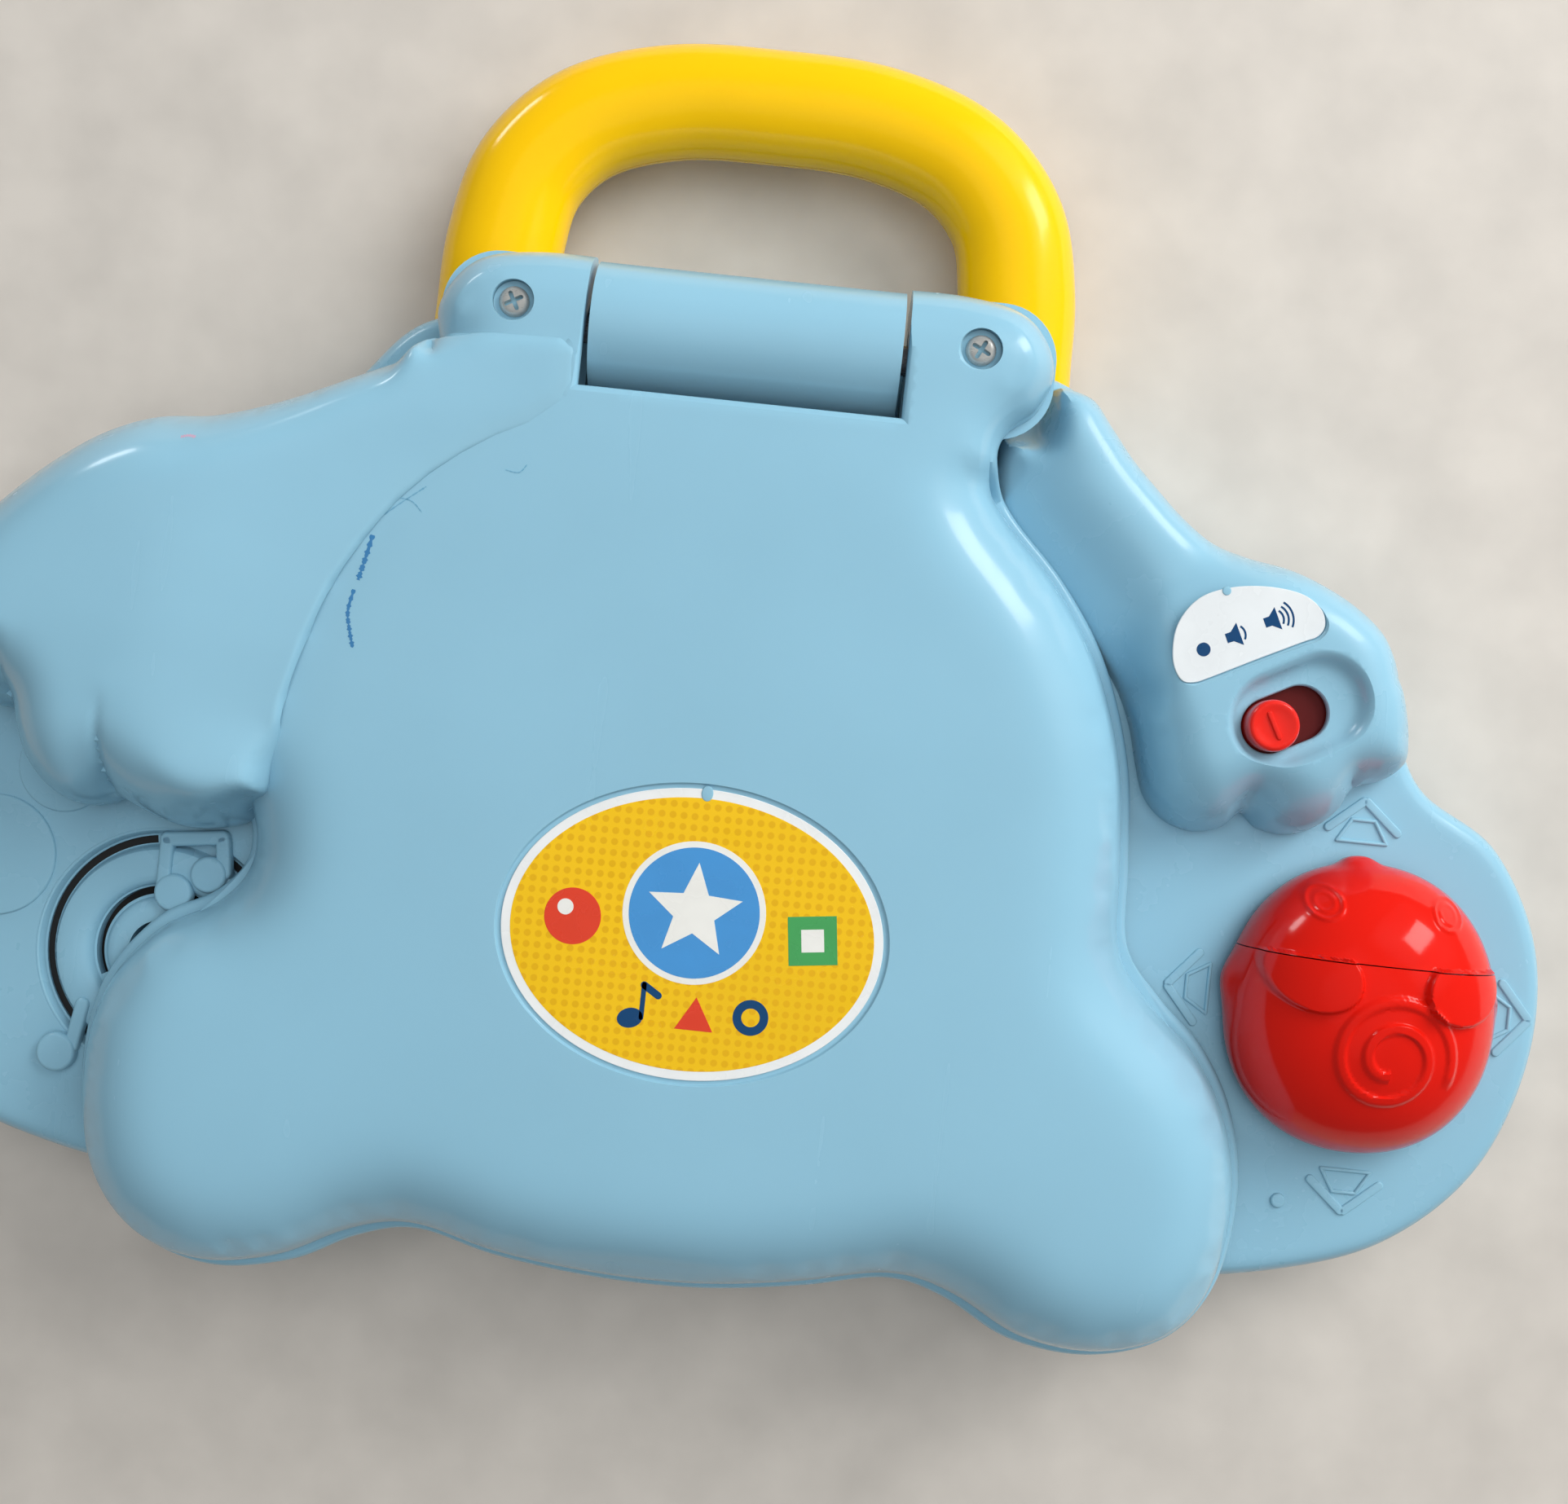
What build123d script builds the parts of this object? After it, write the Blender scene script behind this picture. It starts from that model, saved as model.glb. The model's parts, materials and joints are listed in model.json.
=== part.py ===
# Toddler laptop toy: wide moulded base, domed hinged lid, carry handle, mouse, volume slider and shape keys.
# Millimetres. X runs to the right, Y to the hinge and handle, Z up. Z = 0 is the plane the feet stand on.
import math
import os

from build123d import *

os.makedirs("parts", exist_ok=True)

# ---------------------------------------------------------------- levels and walls
floor_z = 2.0
split_z = 12.5
deck_z = 25.0
trough_z = 20.0
trough_y0 = 40.0
beyond_y = 80.0
above_z = 60.0
rim_z = 27.0
wall = 2.2
gap = 0.2
base_edge_r = 4.0
floor_edge_r = 6.0

# ---------------------------------------------------------------- outlines, clockwise from the back, with their layers
# Each outline is a closed smooth curve; a layer is (height, how far the outline is drawn in there).
base_line = [(0, 59.5), (22, 59.5), (42, 59), (58, 55), (69, 43), (83, 31), (100, 26.4), (113, 18), (119, 4),
             (125, -8), (139, -17), (148, -34), (148.5, -54), (141, -74), (126, -88), (106, -95), (84, -98), (62, -99),
             (40, -99.5), (20, -100), (0, -100), (-20, -100), (-40, -99.5), (-62, -99), (-84, -98), (-106, -95),
             (-126, -88), (-141, -74), (-148.5, -54), (-148, -34), (-139, -17), (-125, -6), (-112, 5), (-98, 16),
             (-83, 29), (-69, 43), (-58, 55), (-42, 59), (-22, 59.5)]
lid_line = [(0, 50), (22, 50), (38, 47), (46, 34), (58, 21), (67.5, 6), (73, -13), (74.8, -34), (86, -51.5),
            (94.5, -67), (97.5, -85), (89, -103), (72, -111), (55, -106.5), (40, -101.2), (20, -105), (0, -106.4),
            (-20, -105.2), (-41, -101), (-57, -106.5), (-75, -111), (-92, -103), (-101, -85), (-98.5, -64),
            (-86, -49.5), (-76, -36), (-73.5, -14), (-67.5, 6), (-58, 21), (-46, 34), (-38, 47), (-22, 50)]
lid_layers = [(27, 0), (31, 0.2), (36, 1.4), (40, 3.6), (43.5, 7.5), (45.6, 11.5), (46.5, 16)]
lid_hollow = [(26, 2.4), (31, 2.6), (36, 3.8), (40, 6.4), (43.5, 12.5), (44.2, 16)]
# Arms: (x, y, radius) of the circles a limb is stretched over, then the toes on its paw.
lid_arm = [(-48, 42, 6), (-84, 12, 18), (-98.5, -1.5, 29)]
lid_toes = [(-84.5, -24, 10.6), (-104, -23.5, 9.6), (-119, -13.5, 10.4)]
lid_arm_top = 51.5
lid_toe_top = 43.0
lid_arm_round = 9.0
lid_label_mid = (1.5, -44.0)
lid_label_a = 31.4
lid_label_b = 24.0
lid_label_z = 46.0
label_t = 0.4
arm = [(61, 46, 5.5), (73, 30, 9.5), (86, 12, 13)]
arm_top = 37.6
arm_round = 4.8
paw = [(96, 7, 18.6), (101, 4, 18.2)]
paw_top = 43.0
paw_round = 7.5
paw_toes = [(84.5, -10.2, 8.4), (99.5, -9.2, 8.2), (112, -1.6, 7.4)]
paw_toe_top = 36.0
toe_round = 4.0

# ---------------------------------------------------------------- hinge
hinge_y = 54.5
hinge_z = 34.0
knuckle_r = 11.5
knuckle_in = 26.6
knuckle_out = 52.0
knuckle_round = 9.5
barrel_r = 11.0
barrel_half = 25.6
notch_y = 42.9
seat_y = 38.3
neck_half = 40.0
neck_under_z = 30.2
neck_y1 = 48.5
neck_top_z = 44.4
seat_front_y = 34.3
pin_r = 2.5
pin_in = 10.0
pin_out = 34.0
pin_fit = 0.06
screw_y = 55.6
screw_x = 38.4
screw_head_r = 2.35
screw_head_z = 41.4
screw_head_h = 1.7
screw_hole_r = 3.4
screw_shank_r = 1.4
screw_tip_z = 27.0
drive_l = 3.0
drive_w = 0.7
cap_r = 2.8
cap_z = 3.6
seat_z = 5.5

# ---------------------------------------------------------------- handle
handle_path = [(46.5, 60), (46.2, 73), (43, 86), (33.5, 96), (18, 101.2), (0, 102.1), (-18, 101.2), (-33.5, 96),
               (-43, 86), (-46.2, 73), (-46.5, 60)]
handle_x = 46.5
handle_start_y = 60.0
handle_z = 13.0
handle_half_w = 10.4
handle_half_h = 8.5
handle_wall = 2.4
tenon_r = 4.6
tenon_len = 12.0
handle_plug = 3.0
handle_screw_y = 53.0

# ---------------------------------------------------------------- mouse
mouse_x = 115.2
mouse_y = -45.8
mouse_half_x = 21.6
mouse_half_y = 25.0
mouse_z0 = 26.4
mouse_top = 46.8
mouse_round = 12.0
mouse_wall = 2.2
seam_y = -37.6
seam_gap = 0.35
stem_w = 10.0
stem_hole_w = 15.0
cross_w = 42.0
cross_l = 36.0
carriage_w = 27.0
carriage_l = 30.0
guide_z = 12.8
cross_z = 15.2
carriage_z = 17.8
slide_t = 2.3
guide_top_z = 22.7
head_pivot_z = 28.6

# ---------------------------------------------------------------- volume slider
slot_a = (92.7, -0.4)
slot_travel = 5.6
slot_angle = 28.0
slot_r = 4.6
knob_r = 4.3
knob_base_z = 35.8
knob_top = 42.6
knob_flange_r = 5.4
knob_flange_h = 1.4
actuator_z = 32.4
actuator_w = 2.0
dish_z = 40.2
dish_w = 17.0
dish_l = 26.0
slot_floor_z = 38.0
volume_label_mid = (88.5, 10.0)
volume_label_angle = 25.6
volume_label_a = 11.9
volume_label_b = 11.2
volume_label_z = 40.6

# ---------------------------------------------------------------- keys
key_pitch_x = 33.0
key_pitch_y = 27.0
key_mid_y = -41.0
key_top = 28.8
key_size = 10.0
key_flange = 1.4
key_fit = 0.5
key_flange_z = 20.5
key_flange_h = 2.0
key_kinds = ["circle", "triangle", "square", "star", "hexagon", "diamond", "flower", "oval", "arch"]

# ---------------------------------------------------------------- electronics and battery bay
board_z = 14.6
board_t = 1.6
board_x = 61.0
board_y0 = -86.0
board_y1 = -0.5
sheet_t = 1.0
dome_top = 18.4
bay_x = 31.0
bay_y0 = 3.0
bay_y1 = 35.0
bay_top = 20.0
cell_r = 7.15
cell_len = 50.0
cell_y = (11.7, 26.3)
cell_z = 11.4
door_x1 = 41.0
door_t = 1.9
speaker_x = -91.0
speaker_y = -58.7
speaker_r = 20.0
ring_mid_r = (16.4, 7.7)
ring_half = (1.0, 0.7)
spoke_w = 5.0


def drawn_in(points, distance):
    """Moves every point of a clockwise outline square to its neighbours, inwards for a positive distance."""
    moved = []
    for i, (x, y) in enumerate(points):
        x0, y0 = points[i - 1]
        x1, y1 = points[(i + 1) % len(points)]
        span = math.hypot(x1 - x0, y1 - y0)
        moved.append((x + (y1 - y0) / span * distance, y - (x1 - x0) / span * distance))
    return moved


def slab(points, distance, z0, z1):
    """A flat-topped block on a closed smooth outline."""
    with BuildPart() as block:
        with BuildSketch(Plane.XY.offset(z0)):
            with BuildLine():
                Spline(*drawn_in(points, distance), periodic=True)
            make_face()
        extrude(amount=z1 - z0)
    return block.part


def swell(points, layers):
    """A rounded body through the outline drawn in at each layer."""
    with BuildPart() as body:
        for z, distance in layers:
            with BuildSketch(Plane.XY.offset(z)):
                with BuildLine():
                    Spline(*drawn_in(points, distance), periodic=True)
                make_face()
        loft()
    return body.part


def limb(circles, distance, z0, z1, rounding):
    """A block stretched over circles, with a rounded top rim."""
    with BuildPart() as body:
        with BuildSketch(Plane.XY.offset(z0)):
            for x, y, radius in circles:
                with Locations((x, y)):
                    Circle(radius - distance)
            make_hull()
        extrude(amount=z1 - z0)
        fillet(body.edges().group_by(Axis.Z)[-1], radius=rounding)
    return body.part


def block(x0, x1, y0, y1, z0, z1):
    """A plain box between two corners."""
    with BuildPart() as plain:
        with Locations(((x0 + x1) / 2, (y0 + y1) / 2, (z0 + z1) / 2)):
            Box(x1 - x0, y1 - y0, z1 - z0)
    return plain.part


def post(x, y, z0, z1, radius):
    """An upright round post."""
    with BuildPart() as upright:
        with Locations((x, y, (z0 + z1) / 2)):
            Cylinder(radius, z1 - z0)
    return upright.part


def bar_along_x(x0, x1, radius):
    """A round bar on the hinge axis."""
    with BuildPart() as bar:
        with Locations(((x0 + x1) / 2, hinge_y, hinge_z)):
            Cylinder(radius, x1 - x0, rotation=(0, 90, 0))
    return bar.part


def save(piece, name):
    """Labels a finished piece and writes its file."""
    piece.part.label = name
    export_step(piece.part, "parts/" + name + ".step")


def key_outline(kind, size):
    """The flat shape of one key, centred on the origin."""
    with BuildSketch(mode=Mode.PRIVATE) as flat:
        if kind == "circle":
            Circle(size)
        elif kind == "triangle":
            RegularPolygon(size * 1.25, 3, rotation=90)
            fillet(flat.vertices(), radius=2.5)
        elif kind == "square":
            RectangleRounded(size * 1.8, size * 1.8, 3)
        elif kind == "star":
            rays = [(size * (1.2 if i % 2 == 0 else 0.66), math.radians(90 + 36 * i)) for i in range(10)]
            with BuildLine():
                Polyline(*[(r * math.cos(a), r * math.sin(a)) for r, a in rays], close=True)
            make_face()
            fillet(flat.vertices(), radius=1.5)
        elif kind == "hexagon":
            RegularPolygon(size * 1.1, 6)
            fillet(flat.vertices(), radius=2)
        elif kind == "diamond":
            RectangleRounded(size * 1.5, size * 1.5, 3, rotation=45)
        elif kind == "flower":
            Circle(size * 0.7)
            with PolarLocations(size * 0.62, 5, start_angle=90):
                Circle(size * 0.46)
        elif kind == "oval":
            RectangleRounded(size * 2.4, size * 1.6, size * 0.78)
        else:
            Circle(size * 1.05)
            Rectangle(size * 3, size * 3, align=(Align.CENTER, Align.MAX), mode=Mode.SUBTRACT)
            with Locations((0, -size * 0.3)):
                Rectangle(size * 2.1, size * 0.8)
    return flat.sketch


key_spots = []
for place, kind in enumerate(key_kinds):
    column = place % 3 - 1
    row = 1 - place // 3
    key_spots.append((kind, column * key_pitch_x, key_mid_y + row * key_pitch_y))

case_screws_at = [(48, -91), (-48, -91), (104, -84), (-104, -84), (60, 41), (-60, 41)]
feet_at = [(124, -62), (-124, -62), (62, 28), (-62, 28)]
foot_r = 6.9
foot_sink = 0.8
case_boss_r = 5.0
case_post_r = 4.0
handle_boss_r = 4.5
board_boss_r = 3.0
slot_dir = (math.cos(math.radians(slot_angle)), math.sin(math.radians(slot_angle)))
slot_mid = (slot_a[0] + slot_dir[0] * slot_travel / 2, slot_a[1] + slot_dir[1] * slot_travel / 2)

# ---------------------------------------------------------------- base bottom shell
door_y0 = 14.5
door_y1 = 23.5
door_screw = (36.0, 19.0)
board_posts_at = [(x, y) for x in (-55, 55) for y in (-80, -6)]
handle_screws_at = [(handle_x, handle_screw_y), (-handle_x, handle_screw_y)]
bottom_bosses = [post(x, y, floor_z + 1, split_z - 2, case_boss_r) for x, y in case_screws_at]
bottom_bosses += [post(x, y, floor_z + 1, handle_z - tenon_r - 2 * gap, handle_boss_r) for x, y in handle_screws_at]
bottom_bosses += [post(x, y, floor_z + 1, board_z, board_boss_r) for x, y in board_posts_at]
bottom_bosses.append(block(-bay_x - wall, bay_x + wall, bay_y0 - wall, bay_y1 + wall, floor_z + 1, bay_top + wall))
bottom_bosses.append(block(bay_x, door_x1 + wall, door_y0 - wall, door_y1 + wall, floor_z + 1, split_z - 1))
bottom_cuts = [block(-bay_x, bay_x, bay_y0, bay_y1, floor_z - 1, bay_top)]
bottom_cuts.append(block(bay_x - 1, door_x1, door_y0, door_y1, floor_z - 1, floor_z + door_t + gap))
bottom_cuts.append(post(*door_screw, 0, split_z, screw_shank_r + pin_fit))
for x, y in case_screws_at + handle_screws_at:
    bottom_cuts.append(post(x, y, 0, split_z, screw_shank_r + gap))
    bottom_cuts.append(post(x, y, 0, seat_z, screw_hole_r))
bottom_cuts += [post(x, y, 0, floor_z + foot_sink, foot_r + gap) for x, y in feet_at]
with BuildPart() as tenon_holes:
    with Locations((handle_x, handle_start_y - 3, handle_z), (-handle_x, handle_start_y - 3, handle_z)):
        Cylinder(tenon_r + 0.1, 12, rotation=(90, 0, 0))
bottom_hollow = slab(base_line, wall, floor_z + wall, split_z)
with BuildPart() as base_bottom_shell:
    with BuildSketch(Plane.XY.offset(floor_z)):
        with BuildLine():
            Spline(*base_line, periodic=True)
        make_face()
    extrude(amount=split_z - gap / 2 - floor_z)
    fillet(base_bottom_shell.edges().group_by(Axis.Z)[0], radius=floor_edge_r)
    add(bottom_hollow, mode=Mode.SUBTRACT)
    add(bottom_bosses)
    add(bottom_cuts + [tenon_holes.part], mode=Mode.SUBTRACT)
save(base_bottom_shell, "base_bottom_shell")

# ---------------------------------------------------------------- base top shell with its right arm and paw
arm_solids = [limb(arm, 0, deck_z - 1, arm_top, arm_round), limb(paw, 0, deck_z - 1, paw_top, paw_round)]
arm_solids += [limb([toe], 0, deck_z - 1, paw_toe_top, toe_round) for toe in paw_toes]
trough_half = knuckle_out + 1.2
roof_keep = block(-trough_half - wall, trough_half + wall, trough_y0 - wall, beyond_y, trough_z - wall, deck_z)
front_hollow = slab(base_line, wall, split_z - 1, deck_z - wall) - roof_keep
hollows = [front_hollow, slab(base_line, wall, split_z - 1, trough_z - wall)]
hollows.append(limb(arm, 1.6 * wall, deck_z - 4, arm_top - wall, 1.5))
hollows.append(limb(paw, 1.4 * wall, deck_z - 4, slot_floor_z, 2.5))
posts = [post(x, y, split_z - 2 + gap / 2, deck_z - wall / 2, case_post_r) for x, y in case_screws_at]
pilot_holes = [post(x, y, split_z - 3, trough_z - wall - 1, screw_shank_r + pin_fit) for x, y in case_screws_at]
with BuildPart() as key_holes:
    for kind, x, y in key_spots:
        with BuildSketch(Plane.XY.offset(deck_z - wall - 1)) as hole:
            with Locations((x, y)):
                add(key_outline(kind, key_size))
            offset(amount=key_fit)
        extrude(amount=wall + 2)
with BuildPart() as grille:
    with BuildSketch(Plane.XY.offset(deck_z - wall - 1)):
        with Locations((speaker_x, speaker_y)):
            for middle, half in zip(ring_mid_r, ring_half):
                Circle(middle + half)
                Circle(middle - half, mode=Mode.SUBTRACT)
            Rectangle(2 * speaker_r, spoke_w, rotation=20, mode=Mode.SUBTRACT)
            Rectangle(spoke_w, 2 * speaker_r, rotation=20, mode=Mode.SUBTRACT)
    extrude(amount=wall + 2)
with BuildPart() as volume_cut:
    with BuildSketch(Plane.XY.offset(dish_z)):
        with Locations((slot_mid[0] + 1.5, slot_mid[1] + 0.8)):
            SlotOverall(dish_l, dish_w, rotation=slot_angle)
    extrude(amount=8)
    with BuildSketch(Plane.XY.offset(slot_floor_z - 1)):
        with Locations(slot_mid):
            SlotCenterToCenter(slot_travel, 2 * slot_r, rotation=slot_angle)
    extrude(amount=6)
with BuildPart() as label_pocket:
    with BuildSketch(Plane.XY.offset(volume_label_z)):
        with Locations(Location(volume_label_mid, (0, 0, volume_label_angle))):
            Ellipse(volume_label_a + gap, volume_label_b + gap)
            Rectangle(3 * volume_label_a, 3 * volume_label_b, align=(Align.CENTER, Align.MAX), mode=Mode.SUBTRACT)
    extrude(amount=8)
stem_hole = block(mouse_x - stem_hole_w / 2, mouse_x + stem_hole_w / 2, mouse_y - stem_hole_w / 2,
                  mouse_y + stem_hole_w / 2, deck_z - 4, deck_z + 2)
with BuildPart() as deck_marks:
    with BuildSketch(Plane.XY.offset(deck_z - 0.5)):
        for x, y, radius in ((-90.4, -47.5, 3), (-83.6, -45.2, 3), (-107.2, -78.3, 3.5)):
            with Locations((x, y)):
                Circle(radius)
        for x, y, length, turn in ((-88, -42, 12, 80), (-81.2, -39.6, 12, 80), (-85.2, -35.4, 9, 18), (-104, -74, 9, 60)):
            with Locations(Location((x, y), (0, 0, turn))):
                Rectangle(length, 1.8)
    extrude(amount=1.9)
    with BuildSketch(Plane.XY.offset(deck_z - 0.5)):
        for x, y, turn in ((-30, 0, 180), (28.5, 0, 0), (0, -33, -90)):
            with Locations(Location((mouse_x + x, mouse_y + y), (0, 0, turn))):
                RegularPolygon(3.4, 3)
                RegularPolygon(2.2, 3, mode=Mode.SUBTRACT)
    extrude(amount=1.1)
trough = block(-trough_half, trough_half, trough_y0, beyond_y, trough_z, above_z)
with BuildPart() as base_top_shell:
    with BuildSketch(Plane.XY.offset(split_z)):
        with BuildLine():
            Spline(*base_line, periodic=True)
        make_face()
    extrude(amount=deck_z - split_z)
    fillet(base_top_shell.edges().group_by(Axis.Z)[-1], radius=base_edge_r)
    for limb_part in arm_solids:
        add(limb_part)
    for hollow in [trough] + hollows:
        add(hollow, mode=Mode.SUBTRACT)
    add(posts)
    add(deck_marks.part)
    add(pilot_holes, mode=Mode.SUBTRACT)
    for cut in (key_holes, grille, volume_cut, tenon_holes, label_pocket):
        add(cut.part, mode=Mode.SUBTRACT)
    add(stem_hole, mode=Mode.SUBTRACT)
save(base_top_shell, "base_top_shell")

# ---------------------------------------------------------------- hinge barrel and pins
with BuildPart() as hinge_barrel:
    add(bar_along_x(-barrel_half, barrel_half, barrel_r))
    add(block(-barrel_half, barrel_half, hinge_y - 7.5, hinge_y + 5, trough_z, hinge_z))
    add(bar_along_x(-barrel_half - 1, barrel_half + 1, pin_r), mode=Mode.SUBTRACT)
save(hinge_barrel, "hinge_barrel")

for side, name in ((-1, "hinge_pin_left"), (1, "hinge_pin_right")):
    ends = sorted((side * pin_in, side * pin_out))
    with BuildPart() as hinge_pin:
        add(bar_along_x(ends[0], ends[1], pin_r))
        chamfer(hinge_pin.edges(), length=0.4)
    save(hinge_pin, name)

# ---------------------------------------------------------------- carry handle: two halves of one tube, with tenons
tube_plane = Plane(origin=(handle_x, handle_start_y, handle_z), x_dir=(1, 0, 0), z_dir=(0, 1, 0))
with BuildPart() as handle_tube:
    with BuildLine():
        Spline(*handle_path, tangents=((0, 1), (0, -1)))
    with BuildSketch(tube_plane):
        Ellipse(handle_half_w, handle_half_h)
    sweep()
with BuildPart() as handle_core:
    with BuildLine():
        Spline(*handle_path, tangents=((0, 1), (0, -1)))
    with BuildSketch(tube_plane):
        Ellipse(handle_half_w - handle_wall, handle_half_h - handle_wall)
    sweep()
for half, name in ((Keep.TOP, "handle_upper"), (Keep.BOTTOM, "handle_lower")):
    with BuildPart() as handle_half:
        add(handle_tube.part)
        add(handle_core.part, mode=Mode.SUBTRACT)
        with Locations((handle_x, handle_start_y, handle_z), (-handle_x, handle_start_y, handle_z)):
            Cylinder(tenon_r, 2 * tenon_len, rotation=(90, 0, 0))
        for x in (handle_x, -handle_x):
            with BuildSketch(Plane(origin=(x, handle_start_y, handle_z), x_dir=(1, 0, 0), z_dir=(0, 1, 0))):
                Ellipse(handle_half_w - 1, handle_half_h - 1)
            extrude(amount=handle_plug)
        for x, y in handle_screws_at:
            add(post(x, y, 0, handle_z, screw_shank_r + pin_fit), mode=Mode.SUBTRACT)
        split(bisect_by=Plane.XY.offset(handle_z), keep=half)
    save(handle_half, name)

# ---------------------------------------------------------------- lid outer shell: dome, front lobes, left arm
lid_solids = [swell(lid_line, lid_layers), limb(lid_arm, 0, rim_z, lid_arm_top, lid_arm_round)]
lid_solids += [limb([toe], 0, rim_z, lid_toe_top, toe_round + 2) for toe in lid_toes]
lid_hollows = [swell(lid_line, lid_hollow), limb(lid_arm, wall, rim_z - 1, lid_arm_top - wall, lid_arm_round - wall)]
lid_hollows += [limb([toe], wall, rim_z - 1, lid_toe_top - wall, toe_round) for toe in lid_toes]
knuckles = []
for side in (-1, 1):
    ends = sorted((side * knuckle_in, side * knuckle_out))
    with BuildPart() as knuckle:
        add(bar_along_x(ends[0], ends[1], knuckle_r))
        fillet(knuckle.edges().sort_by(Axis.X)[0 if side < 0 else -1], radius=knuckle_round)
    knuckles.append(knuckle.part)
pin_bores = bar_along_x(-pin_out - 0.4, pin_out + 0.4, pin_r + pin_fit)
notch = block(-knuckle_in, knuckle_in, notch_y, beyond_y, 0, above_z)
neck_reach = 60.0
under_neck = block(-neck_reach, neck_reach, seat_y, beyond_y, 0, hinge_z)
neck_fill = block(-neck_half, neck_half, seat_y, neck_y1, hinge_z, neck_top_z)
knuckle_upper = block(-neck_reach, neck_reach, seat_front_y, beyond_y, hinge_z, above_z)
knuckle_lower = block(-neck_reach, neck_reach, seat_front_y, beyond_y, 0, hinge_z - gap / 2)
screw_holes = []
for side in (-1, 1):
    screw_holes.append(post(side * screw_x, screw_y, screw_head_z, above_z, screw_hole_r))
    screw_holes.append(post(side * screw_x, screw_y, hinge_z - knuckle_r, screw_head_z, screw_shank_r + gap))
with BuildPart() as label_recess:
    with BuildSketch(Plane.XY.offset(lid_label_z)):
        with Locations(lid_label_mid):
            Ellipse(lid_label_a, lid_label_b)
    extrude(amount=wall)
with BuildPart() as lid_outer_shell:
    add(lid_solids)
    add(lid_hollows, mode=Mode.SUBTRACT)
    add(under_neck, mode=Mode.SUBTRACT)
    add(neck_fill)
    for knuckle_part in knuckles:
        add(knuckle_part & knuckle_upper)
    add([notch, pin_bores, label_recess.part] + screw_holes, mode=Mode.SUBTRACT)
save(lid_outer_shell, "lid_outer_shell")

# ---------------------------------------------------------------- lid inner shell: panel and knuckle undersides
panel_t = 2.0
panel_fit = 0.9
window_round = 8.0
window_lip = 3.0
window_lip_t = 1.2
window_mid = (0.0, -42.0)
window_size = (66.0, 46.0)
lamp_spots = [(-24, -42), (0, -42), (24, -42)]
panel_edge = slab(lid_line, wall + panel_fit, neck_under_z, neck_under_z + panel_t)
panel_tail = block(-mouse_x, mouse_x, seat_y + gap, beyond_y, trough_z, above_z)
with BuildPart() as lid_inner_shell:
    add(panel_edge - panel_tail)
    add(block(-neck_half, neck_half, seat_y - 4, hinge_y - 5, neck_under_z, hinge_z - gap / 2))
    for knuckle_part in knuckles:
        add(knuckle_part & knuckle_lower)
    add([notch, pin_bores], mode=Mode.SUBTRACT)
    for side in (-1, 1):
        add(post(side * screw_x, screw_y, screw_tip_z - 0.5, hinge_z, screw_shank_r + pin_fit), mode=Mode.SUBTRACT)
    with BuildSketch(Plane.XY.offset(neck_under_z - 1)):
        with Locations(window_mid):
            RectangleRounded(*window_size, window_round)
    extrude(amount=panel_t + 2, mode=Mode.SUBTRACT)
save(lid_inner_shell, "lid_inner_shell")

with BuildPart() as lid_label:
    with BuildSketch(Plane.XY.offset(lid_label_z)):
        with Locations(lid_label_mid):
            Ellipse(lid_label_a - 2 * gap, lid_label_b - 2 * gap)
    extrude(amount=label_t)
save(lid_label, "lid_label")

with BuildPart() as knuckle_screws:
    for side in (-1, 1):
        add(post(side * screw_x, screw_y, screw_head_z, screw_head_z + screw_head_h, screw_head_r))
        add(post(side * screw_x, screw_y, screw_tip_z, screw_head_z, screw_shank_r))
    with Locations((screw_x, screw_y, screw_head_z + screw_head_h), (-screw_x, screw_y, screw_head_z + screw_head_h)):
        Box(drive_l, drive_w, 2 * drive_w, mode=Mode.SUBTRACT)
        Box(drive_w, drive_l, 2 * drive_w, mode=Mode.SUBTRACT)
save(knuckle_screws, "knuckle_screws")

# ---------------------------------------------------------------- lid display: window, lamp board and lamps
with BuildPart() as screen_window:
    with BuildSketch(Plane.XY.offset(neck_under_z + 0.3)):
        with Locations(window_mid):
            RectangleRounded(window_size[0] - 2 * gap, window_size[1] - 2 * gap, window_round - gap)
    extrude(amount=panel_t - 0.3)
    with BuildSketch(Plane.XY.offset(neck_under_z + panel_t)):
        with Locations(window_mid):
            RectangleRounded(window_size[0] + 2 * window_lip, window_size[1] + 2 * window_lip, window_round + 1)
    extrude(amount=window_lip_t)
save(screen_window, "screen_window")

lamp_board_z = 36.0
lamp_board_size = (64.0, 34.0)
lamp_post_r = 1.6
lamp_post_z = neck_under_z + panel_t + window_lip_t
lamp_posts_at = [(x, y) for x in (-29, 29) for y in (-55, -29)]
with BuildPart() as lid_pcb:
    with Locations((window_mid[0], window_mid[1], lamp_board_z + board_t / 2)):
        Box(*lamp_board_size, board_t)
    for x, y in lamp_posts_at:
        add(post(x, y, lamp_post_z, lamp_board_z, lamp_post_r))
save(lid_pcb, "lid_pcb")

with BuildPart() as screen_lamps:
    for x, y in lamp_spots:
        with Locations((x, y, lamp_board_z - 0.6)):
            Cylinder(1.5, 1.2)
save(screen_lamps, "screen_lamps")

# ---------------------------------------------------------------- mouse: cross slide, carriage, body and click head
with BuildPart() as mouse_guide:
    with Locations((mouse_x, mouse_y, guide_z + 0.9)):
        Box(cross_w + 10, cross_l + 10, 1.8)
    for side in (-1, 1):
        with Locations((mouse_x, mouse_y + side * (cross_l / 2 + 2.8), (guide_z + guide_top_z) / 2)):
            Box(cross_w + 10, 4.4, guide_top_z - guide_z)
    with Locations((mouse_x, mouse_y, guide_z)):
        Box(8, 8, 5, mode=Mode.SUBTRACT)
save(mouse_guide, "mouse_guide")

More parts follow.
